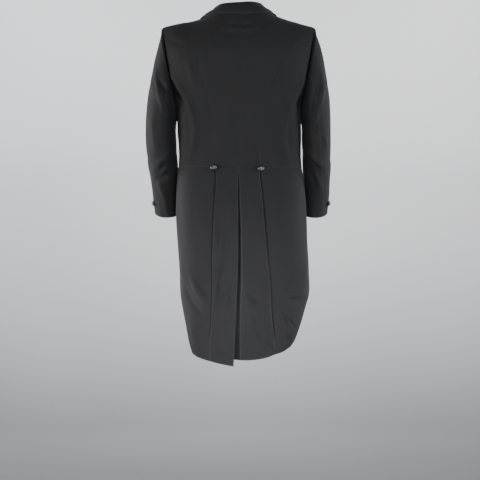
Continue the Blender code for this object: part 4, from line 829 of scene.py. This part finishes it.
# ------------------------------------------------------------------ Sleeves
# Each sleeve is cut in two from the same wool: a wide top sleeve, whose eased head stands up a
# little at the armhole, and a narrower under sleeve. The seams run down behind and in front.
Ring = namedtuple("Ring", "outer_x outer_z inner_x inner_z y half_depth")
SLEEVE = {
    "left": [
        Ring(0.2485, -0.0620, 0.2040, -0.2715, -0.004, 0.0810),
        Ring(0.2565, -0.0930, 0.2060, -0.2760, -0.004, 0.0835),
        Ring(0.2685, -0.1420, 0.2048, -0.2850, -0.004, 0.0840),
        Ring(0.2800, -0.2030, 0.2028, -0.2960, -0.005, 0.0820),
        Ring(0.2905, -0.2700, 0.2005, -0.3180, -0.006, 0.0785),
        Ring(0.2965, -0.3434, 0.2008, -0.3560, -0.009, 0.0740),
        Ring(0.2975, -0.3913, 0.1992, -0.3960, -0.014, 0.0710),
        Ring(0.2940, -0.4393, 0.1968, -0.4390, -0.023, 0.0680),
        Ring(0.2875, -0.4872, 0.1942, -0.4850, -0.038, 0.0650),
        Ring(0.2815, -0.5330, 0.1950, -0.5310, -0.058, 0.0610),
        Ring(0.2780, -0.5760, 0.1930, -0.5745, -0.078, 0.0570),
        Ring(0.2740, -0.6175, 0.1900, -0.6165, -0.097, 0.0540),
    ],
    "right": [
        Ring(0.2510, -0.0620, 0.2052, -0.2715, -0.004, 0.0810),
        Ring(0.2620, -0.0930, 0.2065, -0.2760, -0.004, 0.0835),
        Ring(0.2730, -0.1420, 0.2058, -0.2850, -0.004, 0.0840),
        Ring(0.2825, -0.2030, 0.2046, -0.2960, -0.005, 0.0820),
        Ring(0.2905, -0.2700, 0.2028, -0.3180, -0.006, 0.0785),
        Ring(0.2939, -0.3434, 0.2026, -0.3560, -0.009, 0.0740),
        Ring(0.2955, -0.3913, 0.2030, -0.3960, -0.014, 0.0710),
        Ring(0.2955, -0.4393, 0.2048, -0.4400, -0.023, 0.0680),
        Ring(0.2955, -0.4872, 0.2062, -0.4880, -0.038, 0.0650),
        Ring(0.2950, -0.5330, 0.2085, -0.5330, -0.058, 0.0610),
        Ring(0.2945, -0.5760, 0.2080, -0.5760, -0.078, 0.0570),
        Ring(0.2905, -0.6175, 0.2065, -0.6170, -0.097, 0.0540),
    ],
}
ARMHOLE_GAP = 0.0016
HIND_SEAM_AT_ARMHOLE, HIND_SEAM_AT_CUFF, FORE_SEAM = 100.0, 50.0, -122.0
SLEEVE_ROUNDNESS = 0.9
SLEEVE_TILT_FROM, SLEEVE_TILT_RINGS = 4, 5
SLEEVE_ROUND = 0.3
SLEEVE_SIDES, SLEEVE_RINGS, RING_STEPS = 120, 17, 6
TOP_SLEEVE_COLUMNS, UNDER_SLEEVE_COLUMNS = 70, 46
HEAD_RISE, HEAD_AT, HEAD_WIDTH = 0.0026, 0.0085, 0.0060     # the eased head beside the armhole
# Folds round a sleeve. z: height, turn: degrees round, slant: rise per metre round
SleeveFold = namedtuple("SleeveFold", "z turn slant reach spread height")
SLEEVE_FOLDS = [
    SleeveFold(-0.445, 110.0, 0.9, 50.0, 0.013, 0.0035),
    SleeveFold(-0.478, 120.0, 0.9, 55.0, 0.012, -0.0035),
    SleeveFold(-0.245, 70.0, -0.9, 45.0, 0.016, 0.0040),
    SleeveFold(-0.310, 180.0, 0.0, 75.0, 0.026, 0.0056),
    SleeveFold(-0.272, 180.0, 0.0, 75.0, 0.024, 0.0070),
]
SLEEVE_CREASES = {
    "left": [
        Crease("back", 0.262, -0.165, 0.2535, -0.235, 0.240, -0.302, 0.0065, 0.0072),
        Crease("back", 0.244, -0.208, 0.222, -0.232, 0.203, -0.252, 0.0060, 0.0050),
        Crease("back", 0.2525, -0.205, 0.238, -0.240, 0.214, -0.300, 0.0072, -0.0078),
        Crease("back", 0.223, -0.437, 0.237, -0.453, 0.254, -0.468, 0.0065, 0.0055),
        Crease("back", 0.218, -0.470, 0.233, -0.486, 0.248, -0.503, 0.0065, 0.0059),
        Crease("back", 0.219, -0.458, 0.236, -0.474, 0.254, -0.490, 0.0050, -0.0059),
        Crease("back", 0.262, -0.516, 0.246, -0.516, 0.228, -0.511, 0.0060, -0.0055),
        Crease("back", 0.259, -0.522, 0.240, -0.570, 0.235, -0.614, 0.0090, 0.0059),
        Crease("back", 0.274, -0.330, 0.268, -0.380, 0.262, -0.425, 0.0110, 0.0042),
        Crease("left", -0.020, -0.180, -0.004, -0.260, 0.004, -0.340, 0.0160, 0.0020),
        Crease("left", 0.020, -0.420, -0.010, -0.450, -0.045, -0.462, 0.0090, -0.0022),
        Crease("left", 0.006, -0.452, -0.024, -0.480, -0.060, -0.495, 0.0090, 0.0020),
        Crease("front", 0.235, -0.420, 0.250, -0.448, 0.268, -0.462, 0.0080, -0.0026),
        Crease("front", 0.228, -0.445, 0.246, -0.472, 0.264, -0.486, 0.0080, 0.0024),
        Crease("front", 0.245, -0.150, 0.252, -0.215, 0.246, -0.290, 0.0120, 0.0022),
    ],
    "right": [
        Crease("back", -0.260, -0.178, -0.262, -0.232, -0.254, -0.286, 0.0080, 0.0065),
        Crease("back", -0.254, -0.280, -0.246, -0.315, -0.239, -0.345, 0.0075, 0.0055),
        Crease("back", -0.238, -0.340, -0.252, -0.351, -0.271, -0.349, 0.0055, 0.0050),
        Crease("back", -0.245, -0.222, -0.236, -0.270, -0.226, -0.320, 0.0090, -0.0059),
        Crease("back", -0.222, -0.434, -0.238, -0.458, -0.262, -0.477, 0.0065, 0.0059),
        Crease("back", -0.225, -0.450, -0.240, -0.470, -0.256, -0.486, 0.0050, -0.0065),
        Crease("back", -0.222, -0.484, -0.234, -0.512, -0.245, -0.541, 0.0065, -0.0050),
        Crease("back", -0.235, -0.486, -0.249, -0.515, -0.258, -0.546, 0.0080, 0.0042),
        Crease("back", -0.269, -0.386, -0.276, -0.402, -0.276, -0.420, 0.0060, 0.0036),
        Crease("right", -0.018, -0.185, -0.004, -0.265, 0.002, -0.345, 0.0160, 0.0020),
        Crease("right", 0.018, -0.426, -0.012, -0.454, -0.046, -0.466, 0.0090, -0.0022),
        Crease("right", 0.004, -0.456, -0.026, -0.484, -0.062, -0.500, 0.0090, 0.0020),
        Crease("front", -0.238, -0.424, -0.254, -0.452, -0.272, -0.466, 0.0080, -0.0026),
        Crease("front", -0.232, -0.450, -0.250, -0.476, -0.268, -0.490, 0.0080, 0.0024),
        Crease("front", -0.246, -0.155, -0.254, -0.220, -0.248, -0.295, 0.0120, 0.0022),
    ],
}


def armhole_ring(side):
    """Points round the armhole from the shoulder back and under, a little outside the body's edge."""
    way = 1 if side == "left" else -1
    behind = np.vstack([on_body(smooth_curve(BACK_ARMHOLE), side),
                        on_body(smooth_curve(BACK_ARMHOLE_LOW), side)[1:],
                        [(UNDERARM[1].round * way, UNDERARM[1].z)]])
    ahead = on_body(spaced(FRONT_ARMHOLE, 40), side, front=True)
    loop = np.vstack([behind, ahead[::-1][:-1]])
    points = body_point(loop[:, 0], loop[:, 1])
    closed = np.vstack([points, points[:1]])
    travel = travel_along(closed)
    wanted = np.linspace(0, travel[-1], SLEEVE_SIDES + 1)[:-1]
    ring = np.stack([np.interp(wanted, travel, column) for column in closed.T], axis=1)
    soft = (np.roll(ring, 2, axis=0) + ring * 2 + np.roll(ring, -2, axis=0)) / 4
    low = eased((-0.19 - ring[:, 2:]) / 0.04)
    ring = ring * (1 - low) + soft * low
    return ring + np.array([way * ARMHOLE_GAP, 0, ARMHOLE_GAP / 3])


def sleeve_tube(side):
    """Rings from the armhole to the cuff, [ring][turn], from the outer point towards the back."""
    way = 1 if side == "left" else -1
    rings = smooth_curve(SLEEVE[side], 12)
    travel = travel_along(rings[:, :4])
    wanted = np.linspace(0, travel[-1], SLEEVE_RINGS)
    rings = np.stack([np.interp(wanted, travel, column) for column in rings.T], axis=1)
    turn = np.radians(np.arange(SLEEVE_SIDES) * 360 / SLEEVE_SIDES)
    outer, inner = (np.stack([way * rings[:, c], 0 * rings[:, c], rings[:, c + 1]], axis=1) for c in (0, 2))
    centre, half = (outer + inner) / 2, (outer - inner) / 2
    centre[:, 1] = rings[:, 4]
    along = np.gradient(centre, axis=0)
    along /= np.linalg.norm(along, axis=1, keepdims=True)
    tilt = np.clip((np.arange(SLEEVE_RINGS) - SLEEVE_TILT_FROM) / SLEEVE_TILT_RINGS, 0, 1)[:, None]
    deep = np.array([0, 1.0, 0]) - tilt * along * along[:, 1:2]
    deep /= np.linalg.norm(deep, axis=1, keepdims=True)
    c, s = (np.sign(wave) * np.abs(wave) ** SLEEVE_ROUNDNESS for wave in (np.cos(turn), np.sin(turn)))
    points = (centre[:, None] + half[:, None] * c[None, :, None]
              + deep[:, None] * (rings[:, 5, None] * s)[..., None])
    points = np.concatenate([armhole_ring(side)[None], points])
    return smooth_curve(points.reshape(len(points), -1), RING_STEPS).reshape(-1, SLEEVE_SIDES, 3)


def tube_normals(points, way):
    around = np.roll(points, -1, axis=1) - np.roll(points, 1, axis=1)
    normal = np.cross(np.gradient(points, axis=0), around) * way
    return normal / np.linalg.norm(normal, axis=-1, keepdims=True)


def sleeve_folds(points, normals):
    """The sleeve with its broad folds and with the eased head beside the armhole."""
    turn = np.arange(SLEEVE_SIDES) * 360 / SLEEVE_SIDES
    lift = np.zeros(points.shape[:2])
    for fold in SLEEVE_FOLDS:
        away = (turn - fold.turn + 180) % 360 - 180
        line = fold.z + fold.slant * away / 360 * SLEEVE_ROUND
        lift += fold.height * np.exp(-((points[..., 2] - line) / fold.spread) ** 2 - (away / fold.reach) ** 2)
    reach = np.linspace(0, SLEEVE_RINGS, len(points))[:, None]
    lift *= eased((reach - 1.0) / 2.0)
    away = from_edge(points, "top")
    high = eased((points[:1, :, 2] + 0.20) / 0.12)
    lift += HEAD_RISE * np.exp(-((away - HEAD_AT) / HEAD_WIDTH) ** 2) * high
    return points + normals * lift[..., None]


def at_turn(points, degrees):
    """Points of a tube at one turn for each ring, between its columns."""
    place = (np.asarray(degrees) % 360) / 360 * SLEEVE_SIDES
    low = np.floor(place).astype(int) % SLEEVE_SIDES
    share = (place - np.floor(place))[:, None]
    rows = np.arange(len(points))
    return points[rows, low] * (1 - share) + points[rows, (low + 1) % SLEEVE_SIDES] * share


sleeve_tubes = {}
for side, way in (("left", 1), ("right", -1)):
    tube = sleeve_tube(side)
    tube = sleeve_folds(tube, tube_normals(tube, way))
    sleeve_tubes[side] = tube
    share = np.linspace(0, 1, len(tube))
    hind = HIND_SEAM_AT_ARMHOLE + (HIND_SEAM_AT_CUFF - HIND_SEAM_AT_ARMHOLE) * share ** 1.5
    fore = np.full(len(tube), FORE_SEAM)
    for piece, first, last, columns, outward, cut in (
            ("top_sleeve", fore, hind, TOP_SLEEVE_COLUMNS, True, (0.300, 0.600, 0.114)),
            ("under_sleeve", hind, fore + 360, UNDER_SLEEVE_COLUMNS, False, (0.200, 0.400, 0.068))):
        points = np.stack([at_turn(tube, first + (last - first) * k / columns) for k in range(columns + 1)],
                          axis=1)
        for edge in ("inner", "outer"):
            points = drawn_in(points, edge, SEAM_GAP / 2)
        sewn = panel(points, seams=("inner", "outer", "top"), folds=("bottom",),
                     creases=SLEEVE_CREASES[side], outward=outward)
        sleeve = shell(f"{piece}_{side}_cloth", [sewn], f"{piece}_{side}", wool)

# ------------------------------------------------------------------ Collar
# One folded strip of the same wool over a stiff undercollar. Its stand is sewn to the neck edge, and
# its fall turns over and lies on the back, the shoulders and the top of the foreparts.
CollarRow = namedtuple("CollarRow", "seam fold edge right", defaults=(None,))
COLLAR_BACK = [
    CollarRow((0.000, 0.0642, 0.0105), (0.0000, 0.0590, 0.0382), (0.0000, -0.0016), (0.0382, -0.0016)),
    CollarRow((0.030, 0.0617, 0.0110), (0.0285, 0.0560, 0.0372), (0.0350, -0.0010), (0.0388, -0.0034)),
    CollarRow((0.059, 0.0450, 0.0125), (0.0545, 0.0420, 0.0358), (0.0720, 0.0004), (0.0342, -0.0076)),
    CollarRow((0.077, 0.0205, 0.0136), (0.0715, 0.0190, 0.0310), (0.0990, -0.0024), (0.0310, -0.0052)),
]
COLLAR_SHOULDER = CollarRow((0.0846, 0.0020, 0.0132), (0.0795, -0.0010, 0.0255), (0.1215, -0.0068))
COLLAR_FRONT = [
    CollarRow((0.0845, -0.0150), (0.0806, 0.0080), (0.1315, -0.0290)),
    CollarRow((0.0862, -0.0400), (0.0840, -0.0265), (0.1340, -0.0560)),
    CollarRow((0.0855, -0.0640), (0.0852, -0.0550), (0.1290, -0.0815)),
]
FALL_LIFT, FRONT_FALL_LIFT, FRONT_FALL_ROLL = 0.0036, 0.0050, 0.0085
COLLAR_FOLD = 2 * CLOTH + 0.0016
COLLAR_BELLY = 0.0022
NECK_SIDE_TOP, NECK_SIDE_LIFT = 0.008, 0.0045
COLLAR_ROW_STEPS, COLLAR_ROUND_STEPS = 12, 6


def body_normal(angle, height):
    """Outward directions of the cloth, by small differences. On the shoulder seam they point up."""
    angle, height = np.broadcast_arrays(np.asarray(angle, float), np.asarray(height, float))
    round_step = body_point(angle + 0.4, height) - body_point(angle - 0.4, height)
    up_step = body_point(angle, height) - body_point(angle, height - 0.002)
    normal = np.cross(up_step, round_step)
    x = body_point(angle, height)[..., 0]
    below_seam = np.clip((top_edge("z", np.abs(x)) - height) / 0.004, 0, 1)
    normal[..., 1] *= np.where(np.abs(x) > NECK_HALF_WIDTH - 0.002, below_seam, 1)
    return normal / np.linalg.norm(normal, axis=-1, keepdims=True)


def lifted(x, z, lift, front):
    """A place on the body at x and z, moved out of the cloth."""
    angle = angle_at(x, z, front=front)
    return body_point(angle, z) + body_normal(angle, z) * lift


def collar_profile(seam, fold, edge):
    """Nine points over the fold, from the neck seam up the stand and down the fall."""
    seam, fold, edge = (np.array(p, float) for p in (seam, fold, edge))
    out = (edge - seam) * np.array([1, 1, 0])
    out /= max(np.linalg.norm(out), 1e-6)
    inside, outside = fold - out * COLLAR_FOLD / 2, fold + out * COLLAR_FOLD / 2
    bend = np.array([0, 0, COLLAR_FOLD])
    belly = (outside + edge) / 2 + out * COLLAR_BELLY
    return [seam, (seam + inside) / 2 - out * COLLAR_BELLY / 5, inside - bend * 0.6, inside - bend * 0.1,
            fold + bend * 0.15, outside - bend * 0.1, outside - bend * 0.6, belly, edge]


rows = [collar_profile(row.seam, row.fold, lifted(*row.edge, FALL_LIFT, False)) for row in COLLAR_BACK]
right_rows = [collar_profile(row.seam, (*row.fold[:2], row.right[0]),
                             lifted(row.edge[0], row.right[1], FALL_LIFT, False)) for row in COLLAR_BACK]
row = COLLAR_SHOULDER
on_ridge = np.array([row.edge[0], top_edge("y", row.edge[0]), top_edge("z", row.edge[0]) + FALL_LIFT])
rows.append(collar_profile(row.seam, row.fold, on_ridge))
for row in COLLAR_FRONT:
    seam = lifted(*row.seam, -CLOTH, True)
    fold = lifted(row.fold[0], min(row.fold[1], NECK_SIDE_TOP), NECK_SIDE_LIFT, True)
    fold[2] = row.fold[1]
    profile = collar_profile(seam, fold, lifted(*row.edge, FRONT_FALL_LIFT, True))
    for place, share, lift in ((6, 0.12, FRONT_FALL_ROLL), (7, 0.5, FRONT_FALL_LIFT + COLLAR_BELLY / 2)):
        x = row.fold[0] + (row.edge[0] - row.fold[0]) * share
        z = row.fold[1] + (row.edge[1] - row.fold[1]) * share
        profile[place] = lifted(x, z, lift, True)
    rows.append(profile)
right_rows = np.array(right_rows + rows[len(right_rows):]) * np.array([-1, 1, 1])
rows = np.vstack([right_rows[::-1][:-1], rows])
rows = smooth_curve(rows.reshape(len(rows), -1), COLLAR_ROW_STEPS).reshape(-1, 9, 3)
points = np.swapaxes(smooth_curve(np.swapaxes(rows, 0, 1).reshape(9, -1), COLLAR_ROUND_STEPS)
                     .reshape(-1, len(rows), 3), 0, 1)
for edge in ("top", "bottom", "outer"):
    points = edge_lines(points, edge)
normals = np.cross(np.gradient(points, axis=0), np.gradient(points, axis=1))
normals /= np.linalg.norm(normals, axis=-1, keepdims=True)
away = np.minimum(from_edge(points, "outer"), np.minimum(from_edge(points, "top"), from_edge(points, "bottom")))
# pressed edges of the collar, which the wool paints lighter as a highlight
pressed_highlight = 1 - eased((away - 0.001) / 0.006)
collar = shell("collar_cloth", [(points, normals, pressed_highlight)], "collar", wool)

# ------------------------------------------------------------------ Lapels
# Facings of black silk satin with a pointed top corner. Each lies on its forepart from the roll line
# outwards, a layer of cloth higher.
LAPEL_ROLL = [Seam(0.0885, -0.0660), Seam(0.0862, -0.1200), Seam(0.0800, -0.2000), Seam(0.0680, -0.3200),
              Seam(0.0617, -0.3860)]
LAPEL_GORGE = [Seam(0.0885, -0.0660), Seam(0.1100, -0.0760), Seam(0.1310, -0.0860), Seam(0.1640, -0.0690)]
LAPEL_OUTER = [Seam(0.1640, -0.0690), Seam(0.1655, -0.1000), Seam(0.1580, -0.1500), Seam(0.1400, -0.2200),
               Seam(0.1120, -0.3000), Seam(0.0800, -0.3700), Seam(0.0660, -0.3900)]
LAPEL_LIFT = 0.0028
LAPEL_ROWS, LAPEL_COLUMNS = 72, 30


def silk_satin():
    """Black silk satin: smooth and glossy, with fine close warp threads and a faint unevenness."""
    made, shader, start = new_finish("black_silk_satin")
    place = start.out("TexCoord", "Object")
    split = start.node("SeparateXYZ", i0=place)
    x, z = Wire(start.tree, split.outputs[0]), Wire(start.tree, split.outputs[2])
    wander = start.out("TexNoise", 0, Vector=place, Scale=60.0, Detail=2.0)
    thread = ((x * 0.9 + z * 0.12 + wander * 0.0003) * (6.2832 / 0.00045)).sin() * 0.5 + 0.5
    slub = start.out("TexNoise", 0, Vector=place, Scale=420.0, Detail=3.0)
    cloud = start.out("TexNoise", 0, Vector=place, Scale=22.0, Detail=2.0)
    tone = (thread * 0.3 + slub * 0.3 + cloud * 0.4).clamped()
    colour = tone.mixed((0.0065, 0.0065, 0.0075), (0.0180, 0.0182, 0.0200))
    roughness = 0.25 + slub * 0.06 + cloud * 0.05
    connect(start, shader, colour, roughness, thread * 0.7 + slub * 0.3, 0.00004)
    shader.inputs["Specular IOR Level"].default_value = 0.8
    shader.inputs["Coat Weight"].default_value = 0.15
    shader.inputs["Coat Roughness"].default_value = 0.3
    return made


satin = silk_satin()
for side, way in (("left", 1), ("right", -1)):
    inner = on_body(spaced(LAPEL_ROLL, LAPEL_ROWS), side, front=True)
    outer = on_body(spaced(LAPEL_OUTER, LAPEL_ROWS), side, front=True)
    top = on_body(spaced(LAPEL_GORGE, LAPEL_COLUMNS), side, front=True)
    share = np.linspace(0, 1, LAPEL_COLUMNS + 1)[:, None]
    bottom = inner[-1] * (1 - share) + outer[-1] * share
    places = patch(top, bottom, inner, outer)
    points = body_point(places[..., 0], places[..., 1])
    points = points + body_normal(places[..., 0], places[..., 1]) * LAPEL_LIFT
    for edge in ("inner", "outer", "top"):
        points = edge_lines(points, edge)
    lapel = shell(f"lapel_{side}_satin", [(points, grid_normals(points), np.zeros(points.shape[:2]))],
                  f"lapel_{side}", satin)

# ------------------------------------------------------------------ Buttons
# Domed buttons covered in the same satin: two at the waist behind, three on each forepart and one on
# each cuff. The satin is drawn over a metal shell and gathered in under it.
Cover = namedtuple("Cover", "radius height seat")
WAIST_COVER = Cover(0.0110, 0.0070, 0.0014)
FRONT_COVER = Cover(0.0100, 0.0065, 0.0006)
CUFF_COVER = Cover(0.0086, 0.0080, 0.0012)
WAIST_BUTTONS = {"left": Seam(0.0775, -0.4835), "right": Seam(0.0700, -0.4870)}
FRONT_BUTTONS = [Seam(0.1060, -0.3450), Seam(0.0960, -0.4000), Seam(0.0920, -0.4520)]
CUFF_BUTTON_TURN, CUFF_BUTTON_Z = 30.0, -0.592
WAIST_BUTTON_HANG = np.array([0.7, 1.0, 0.1])   # a button on its shank hangs straighter than the cloth
BUTTON_PROFILE = [(1.00, 0.25), (0.97, 0.52), (0.84, 0.77), (0.62, 0.91), (0.32, 0.98)]

bpy.ops.mesh.primitive_circle_add(vertices=40, radius=0.80, fill_type="NGON", location=(0, 0, 0))
covered = bpy.context.object
bpy.ops.object.mode_set(mode="EDIT")
bpy.ops.mesh.select_all(action="SELECT")
wide, tall = 0.80, 0.0
for next_wide, next_tall in BUTTON_PROFILE:
    bpy.ops.mesh.extrude_region_move(TRANSFORM_OT_translate={"value": (0, 0, next_tall - tall)})
    bpy.ops.transform.resize(value=(next_wide / wide, next_wide / wide, 1))
    wide, tall = next_wide, next_tall
bpy.ops.mesh.inset(thickness=wide * 0.5, depth=0.0)
bpy.ops.mesh.select_all(action="SELECT")
bpy.ops.mesh.normals_make_consistent(inside=False)
bpy.ops.object.mode_set(mode="OBJECT")
round_off = covered.modifiers.new("round_off", "SUBSURF")
round_off.levels = round_off.render_levels = 1
bpy.ops.object.modifier_apply(modifier="round_off")
bpy.ops.object.shade_smooth()
covered.data.materials.append(satin)


def set_button(name, node, seat, axis, cover):
    """A copy of the covered button, laid on its seat."""
    made = covered.copy()
    made.data = covered.data.copy()
    made.name = made.data.name = name
    bpy.context.scene.collection.objects.link(made)
    axis = axis / np.linalg.norm(axis)
    across = np.cross(axis, [0, 0, 1.0])
    across /= np.linalg.norm(across)
    frame_of_button = np.stack([across * cover.radius, np.cross(axis, across) * cover.radius,
                                axis * cover.height], axis=1)
    places = np.zeros(len(made.data.vertices) * 3)
    made.data.vertices.foreach_get("co", places)
    places = places.reshape(-1, 3) @ frame_of_button.T + seat + axis * cover.seat
    made.data.vertices.foreach_set("co", places.ravel())
    made.data.update()
    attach(made, "root")
    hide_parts(node)
    return made


for side, way in (("left", 1), ("right", -1)):
    place = WAIST_BUTTONS[side]
    angle = angle_at(way * place.out, place.z)
    set_button(f"waist_button_{side}_cover", f"back_button_{side}", body_point(angle, place.z),
               body_normal(angle, place.z) * WAIST_BUTTON_HANG, WAIST_COVER)
    for number, place in enumerate(FRONT_BUTTONS, 1):
        angle = angle_at(way * place.out, place.z, front=True)
        set_button(f"front_button_{side}_{number}_cover", f"front_button_{side}_{number}",
                   body_point(angle, place.z), body_normal(angle, place.z), FRONT_COVER)
    tube = sleeve_tubes[side]
    normals = tube_normals(tube, way)
    turns = np.full(len(tube), CUFF_BUTTON_TURN)
    line, facing = at_turn(tube, turns), at_turn(normals, turns)
    seat, axis = (np.array([np.interp(-CUFF_BUTTON_Z, -line[:, 2], column) for column in both.T])
                  for both in (line, facing))
    set_button(f"cuff_button_{side}_cover", f"cuff_button_{side}", seat, axis, CUFF_COVER)
bpy.data.objects.remove(covered, do_unlink=True)

# ------------------------------------------------------------------ Stage
# A pale studio sweep whose colour carries painted shade, darker towards the floor, a soft light from each side of the
# camera and one from above, and an even light all round that shows the coat from its other sides too.
bpy.ops.mesh.primitive_plane_add(size=1, location=(0, 0, 0))
sweep = bpy.context.object
sweep.name = "studio_sweep"
SWEEP_FLOOR, SWEEP_BACK, SWEEP_RADIUS = -1.50, -2.40, 1.10
bend = np.linspace(0, np.pi / 2, 25)
profile = [(8.0, SWEEP_FLOOR), (4.0, SWEEP_FLOOR), (1.0, SWEEP_FLOOR)]
profile += [(SWEEP_BACK + SWEEP_RADIUS * (1 - np.sin(a)), SWEEP_FLOOR + SWEEP_RADIUS * (1 - np.cos(a))) for a in bend]
profile += [(SWEEP_BACK, 1.0), (SWEEP_BACK, 4.0)]
sweep.data.clear_geometry()
sweep.data.from_pydata([(x, y, z) for y, z in profile for x in (-5.0, 5.0)], [],
                       [(2 * k, 2 * k + 2, 2 * k + 3, 2 * k + 1) for k in range(len(profile) - 1)])
bpy.ops.object.shade_smooth()


def backdrop_paper():
    """Matt pale grey paper, with painted shade that darkens its colour towards the floor."""
    made, shader, start = new_finish("studio_paper")
    place = start.out("TexCoord", "Object")
    cloud = start.out("TexNoise", 0, Vector=place, Scale=0.9, Detail=3.0)
    grain = start.out("TexNoise", 0, Vector=place, Scale=260.0, Detail=2.0)
    height = Wire(start.tree, start.node("SeparateXYZ", i0=place).outputs[2])
    # painted shade: the paper's colour darkens towards the floor
    lit = ((height + 1.62) / 1.42).clamped() ** 0.6
    colour = (lit * 0.85 + cloud * 0.1 + grain * 0.05).clamped().mixed((0.06, 0.061, 0.064), (0.66, 0.665, 0.68))
    connect(start, shader, colour, 0.9 + grain * 0.05, grain, 0.0002)
    return made


sweep.data.materials.append(backdrop_paper())

SoftLight = namedtuple("SoftLight", "name place aim size power tint spread")
LIGHTS = [
    SoftLight("front_left", (1.0, 4.0, 0.1), (0.0, 0.0, -0.6), 0.5, 27, (1.0, 0.99, 0.98), 180),
    SoftLight("front_right", (-1.0, 4.0, 0.0), (0.0, 0.0, -0.6), 0.5, 55, (0.98, 0.99, 1.0), 180),
    SoftLight("side_left", (2.8, 0.9, -0.55), (0.2, 0.0, -0.40), 1.2, 34, (1.0, 0.99, 0.975), 120),
    SoftLight("side_right", (-2.8, 0.9, -0.35), (-0.2, 0.0, -0.30), 1.2, 26, (0.975, 0.99, 1.0), 120),
    SoftLight("edge_left", (2.6, -0.9, -0.4), (0.2, 0.0, -0.40), 1.0, 24, (1.0, 1.0, 1.0), 120),
    SoftLight("edge_right", (-2.6, -0.9, -0.3), (-0.2, 0.0, -0.30), 1.0, 13, (1.0, 1.0, 1.0), 120),
    SoftLight("low_middle", (0.0, 2.4, -1.40), (0.0, 0.1, -0.98), 0.4, 0.85, (1.0, 1.0, 1.0), 20),
    SoftLight("low_left", (1.9, 2.5, -1.20), (0.05, 0.1, -0.86), 0.6, 0.4, (1.0, 1.0, 1.0), 32),
    SoftLight("low_right", (-1.9, 2.5, -1.20), (-0.05, 0.1, -0.86), 0.6, 0.4, (1.0, 1.0, 1.0), 32),
    SoftLight("far_side", (0.0, -1.9, -0.6), (0.0, 0.0, -0.6), 1.6, 9, (1.0, 1.0, 1.0), 90),
    SoftLight("backdrop_left", (1.9, -0.6, 1.6), (0.5, -2.4, -0.3), 1.0, 33, (0.97, 0.98, 1.0), 90),
    SoftLight("backdrop_right", (-1.9, -0.6, 1.6), (-0.5, -2.4, -0.3), 1.0, 32, (1.0, 1.0, 1.0), 90),
]
for light in LIGHTS:
    bpy.ops.object.light_add(type="AREA", location=light.place)
    lamp = bpy.context.object
    lamp.name = lamp.data.name = light.name
    lamp.data.shape, lamp.data.size = "DISK", light.size
    lamp.data.energy, lamp.data.color = light.power, light.tint
    lamp.data.spread = np.radians(light.spread)
    aim = Vector(light.aim) - Vector(light.place)
    lamp.rotation_euler = aim.to_track_quat("-Z", "Y").to_euler()

world = bpy.data.worlds.new("studio_air")
world.use_nodes = True
world.node_tree.nodes["Background"].inputs["Color"].default_value = (0.80, 0.83, 0.88, 1)
world.node_tree.nodes["Background"].inputs["Strength"].default_value = 0.07
bpy.context.scene.world = world

bpy.ops.object.camera_add(location=(-0.0047, 4.2, -0.7109), rotation=(np.pi / 2, 0, np.pi))
camera = bpy.context.object
camera.data.lens, camera.data.sensor_width = 98.57, 36
bpy.context.scene.camera = camera
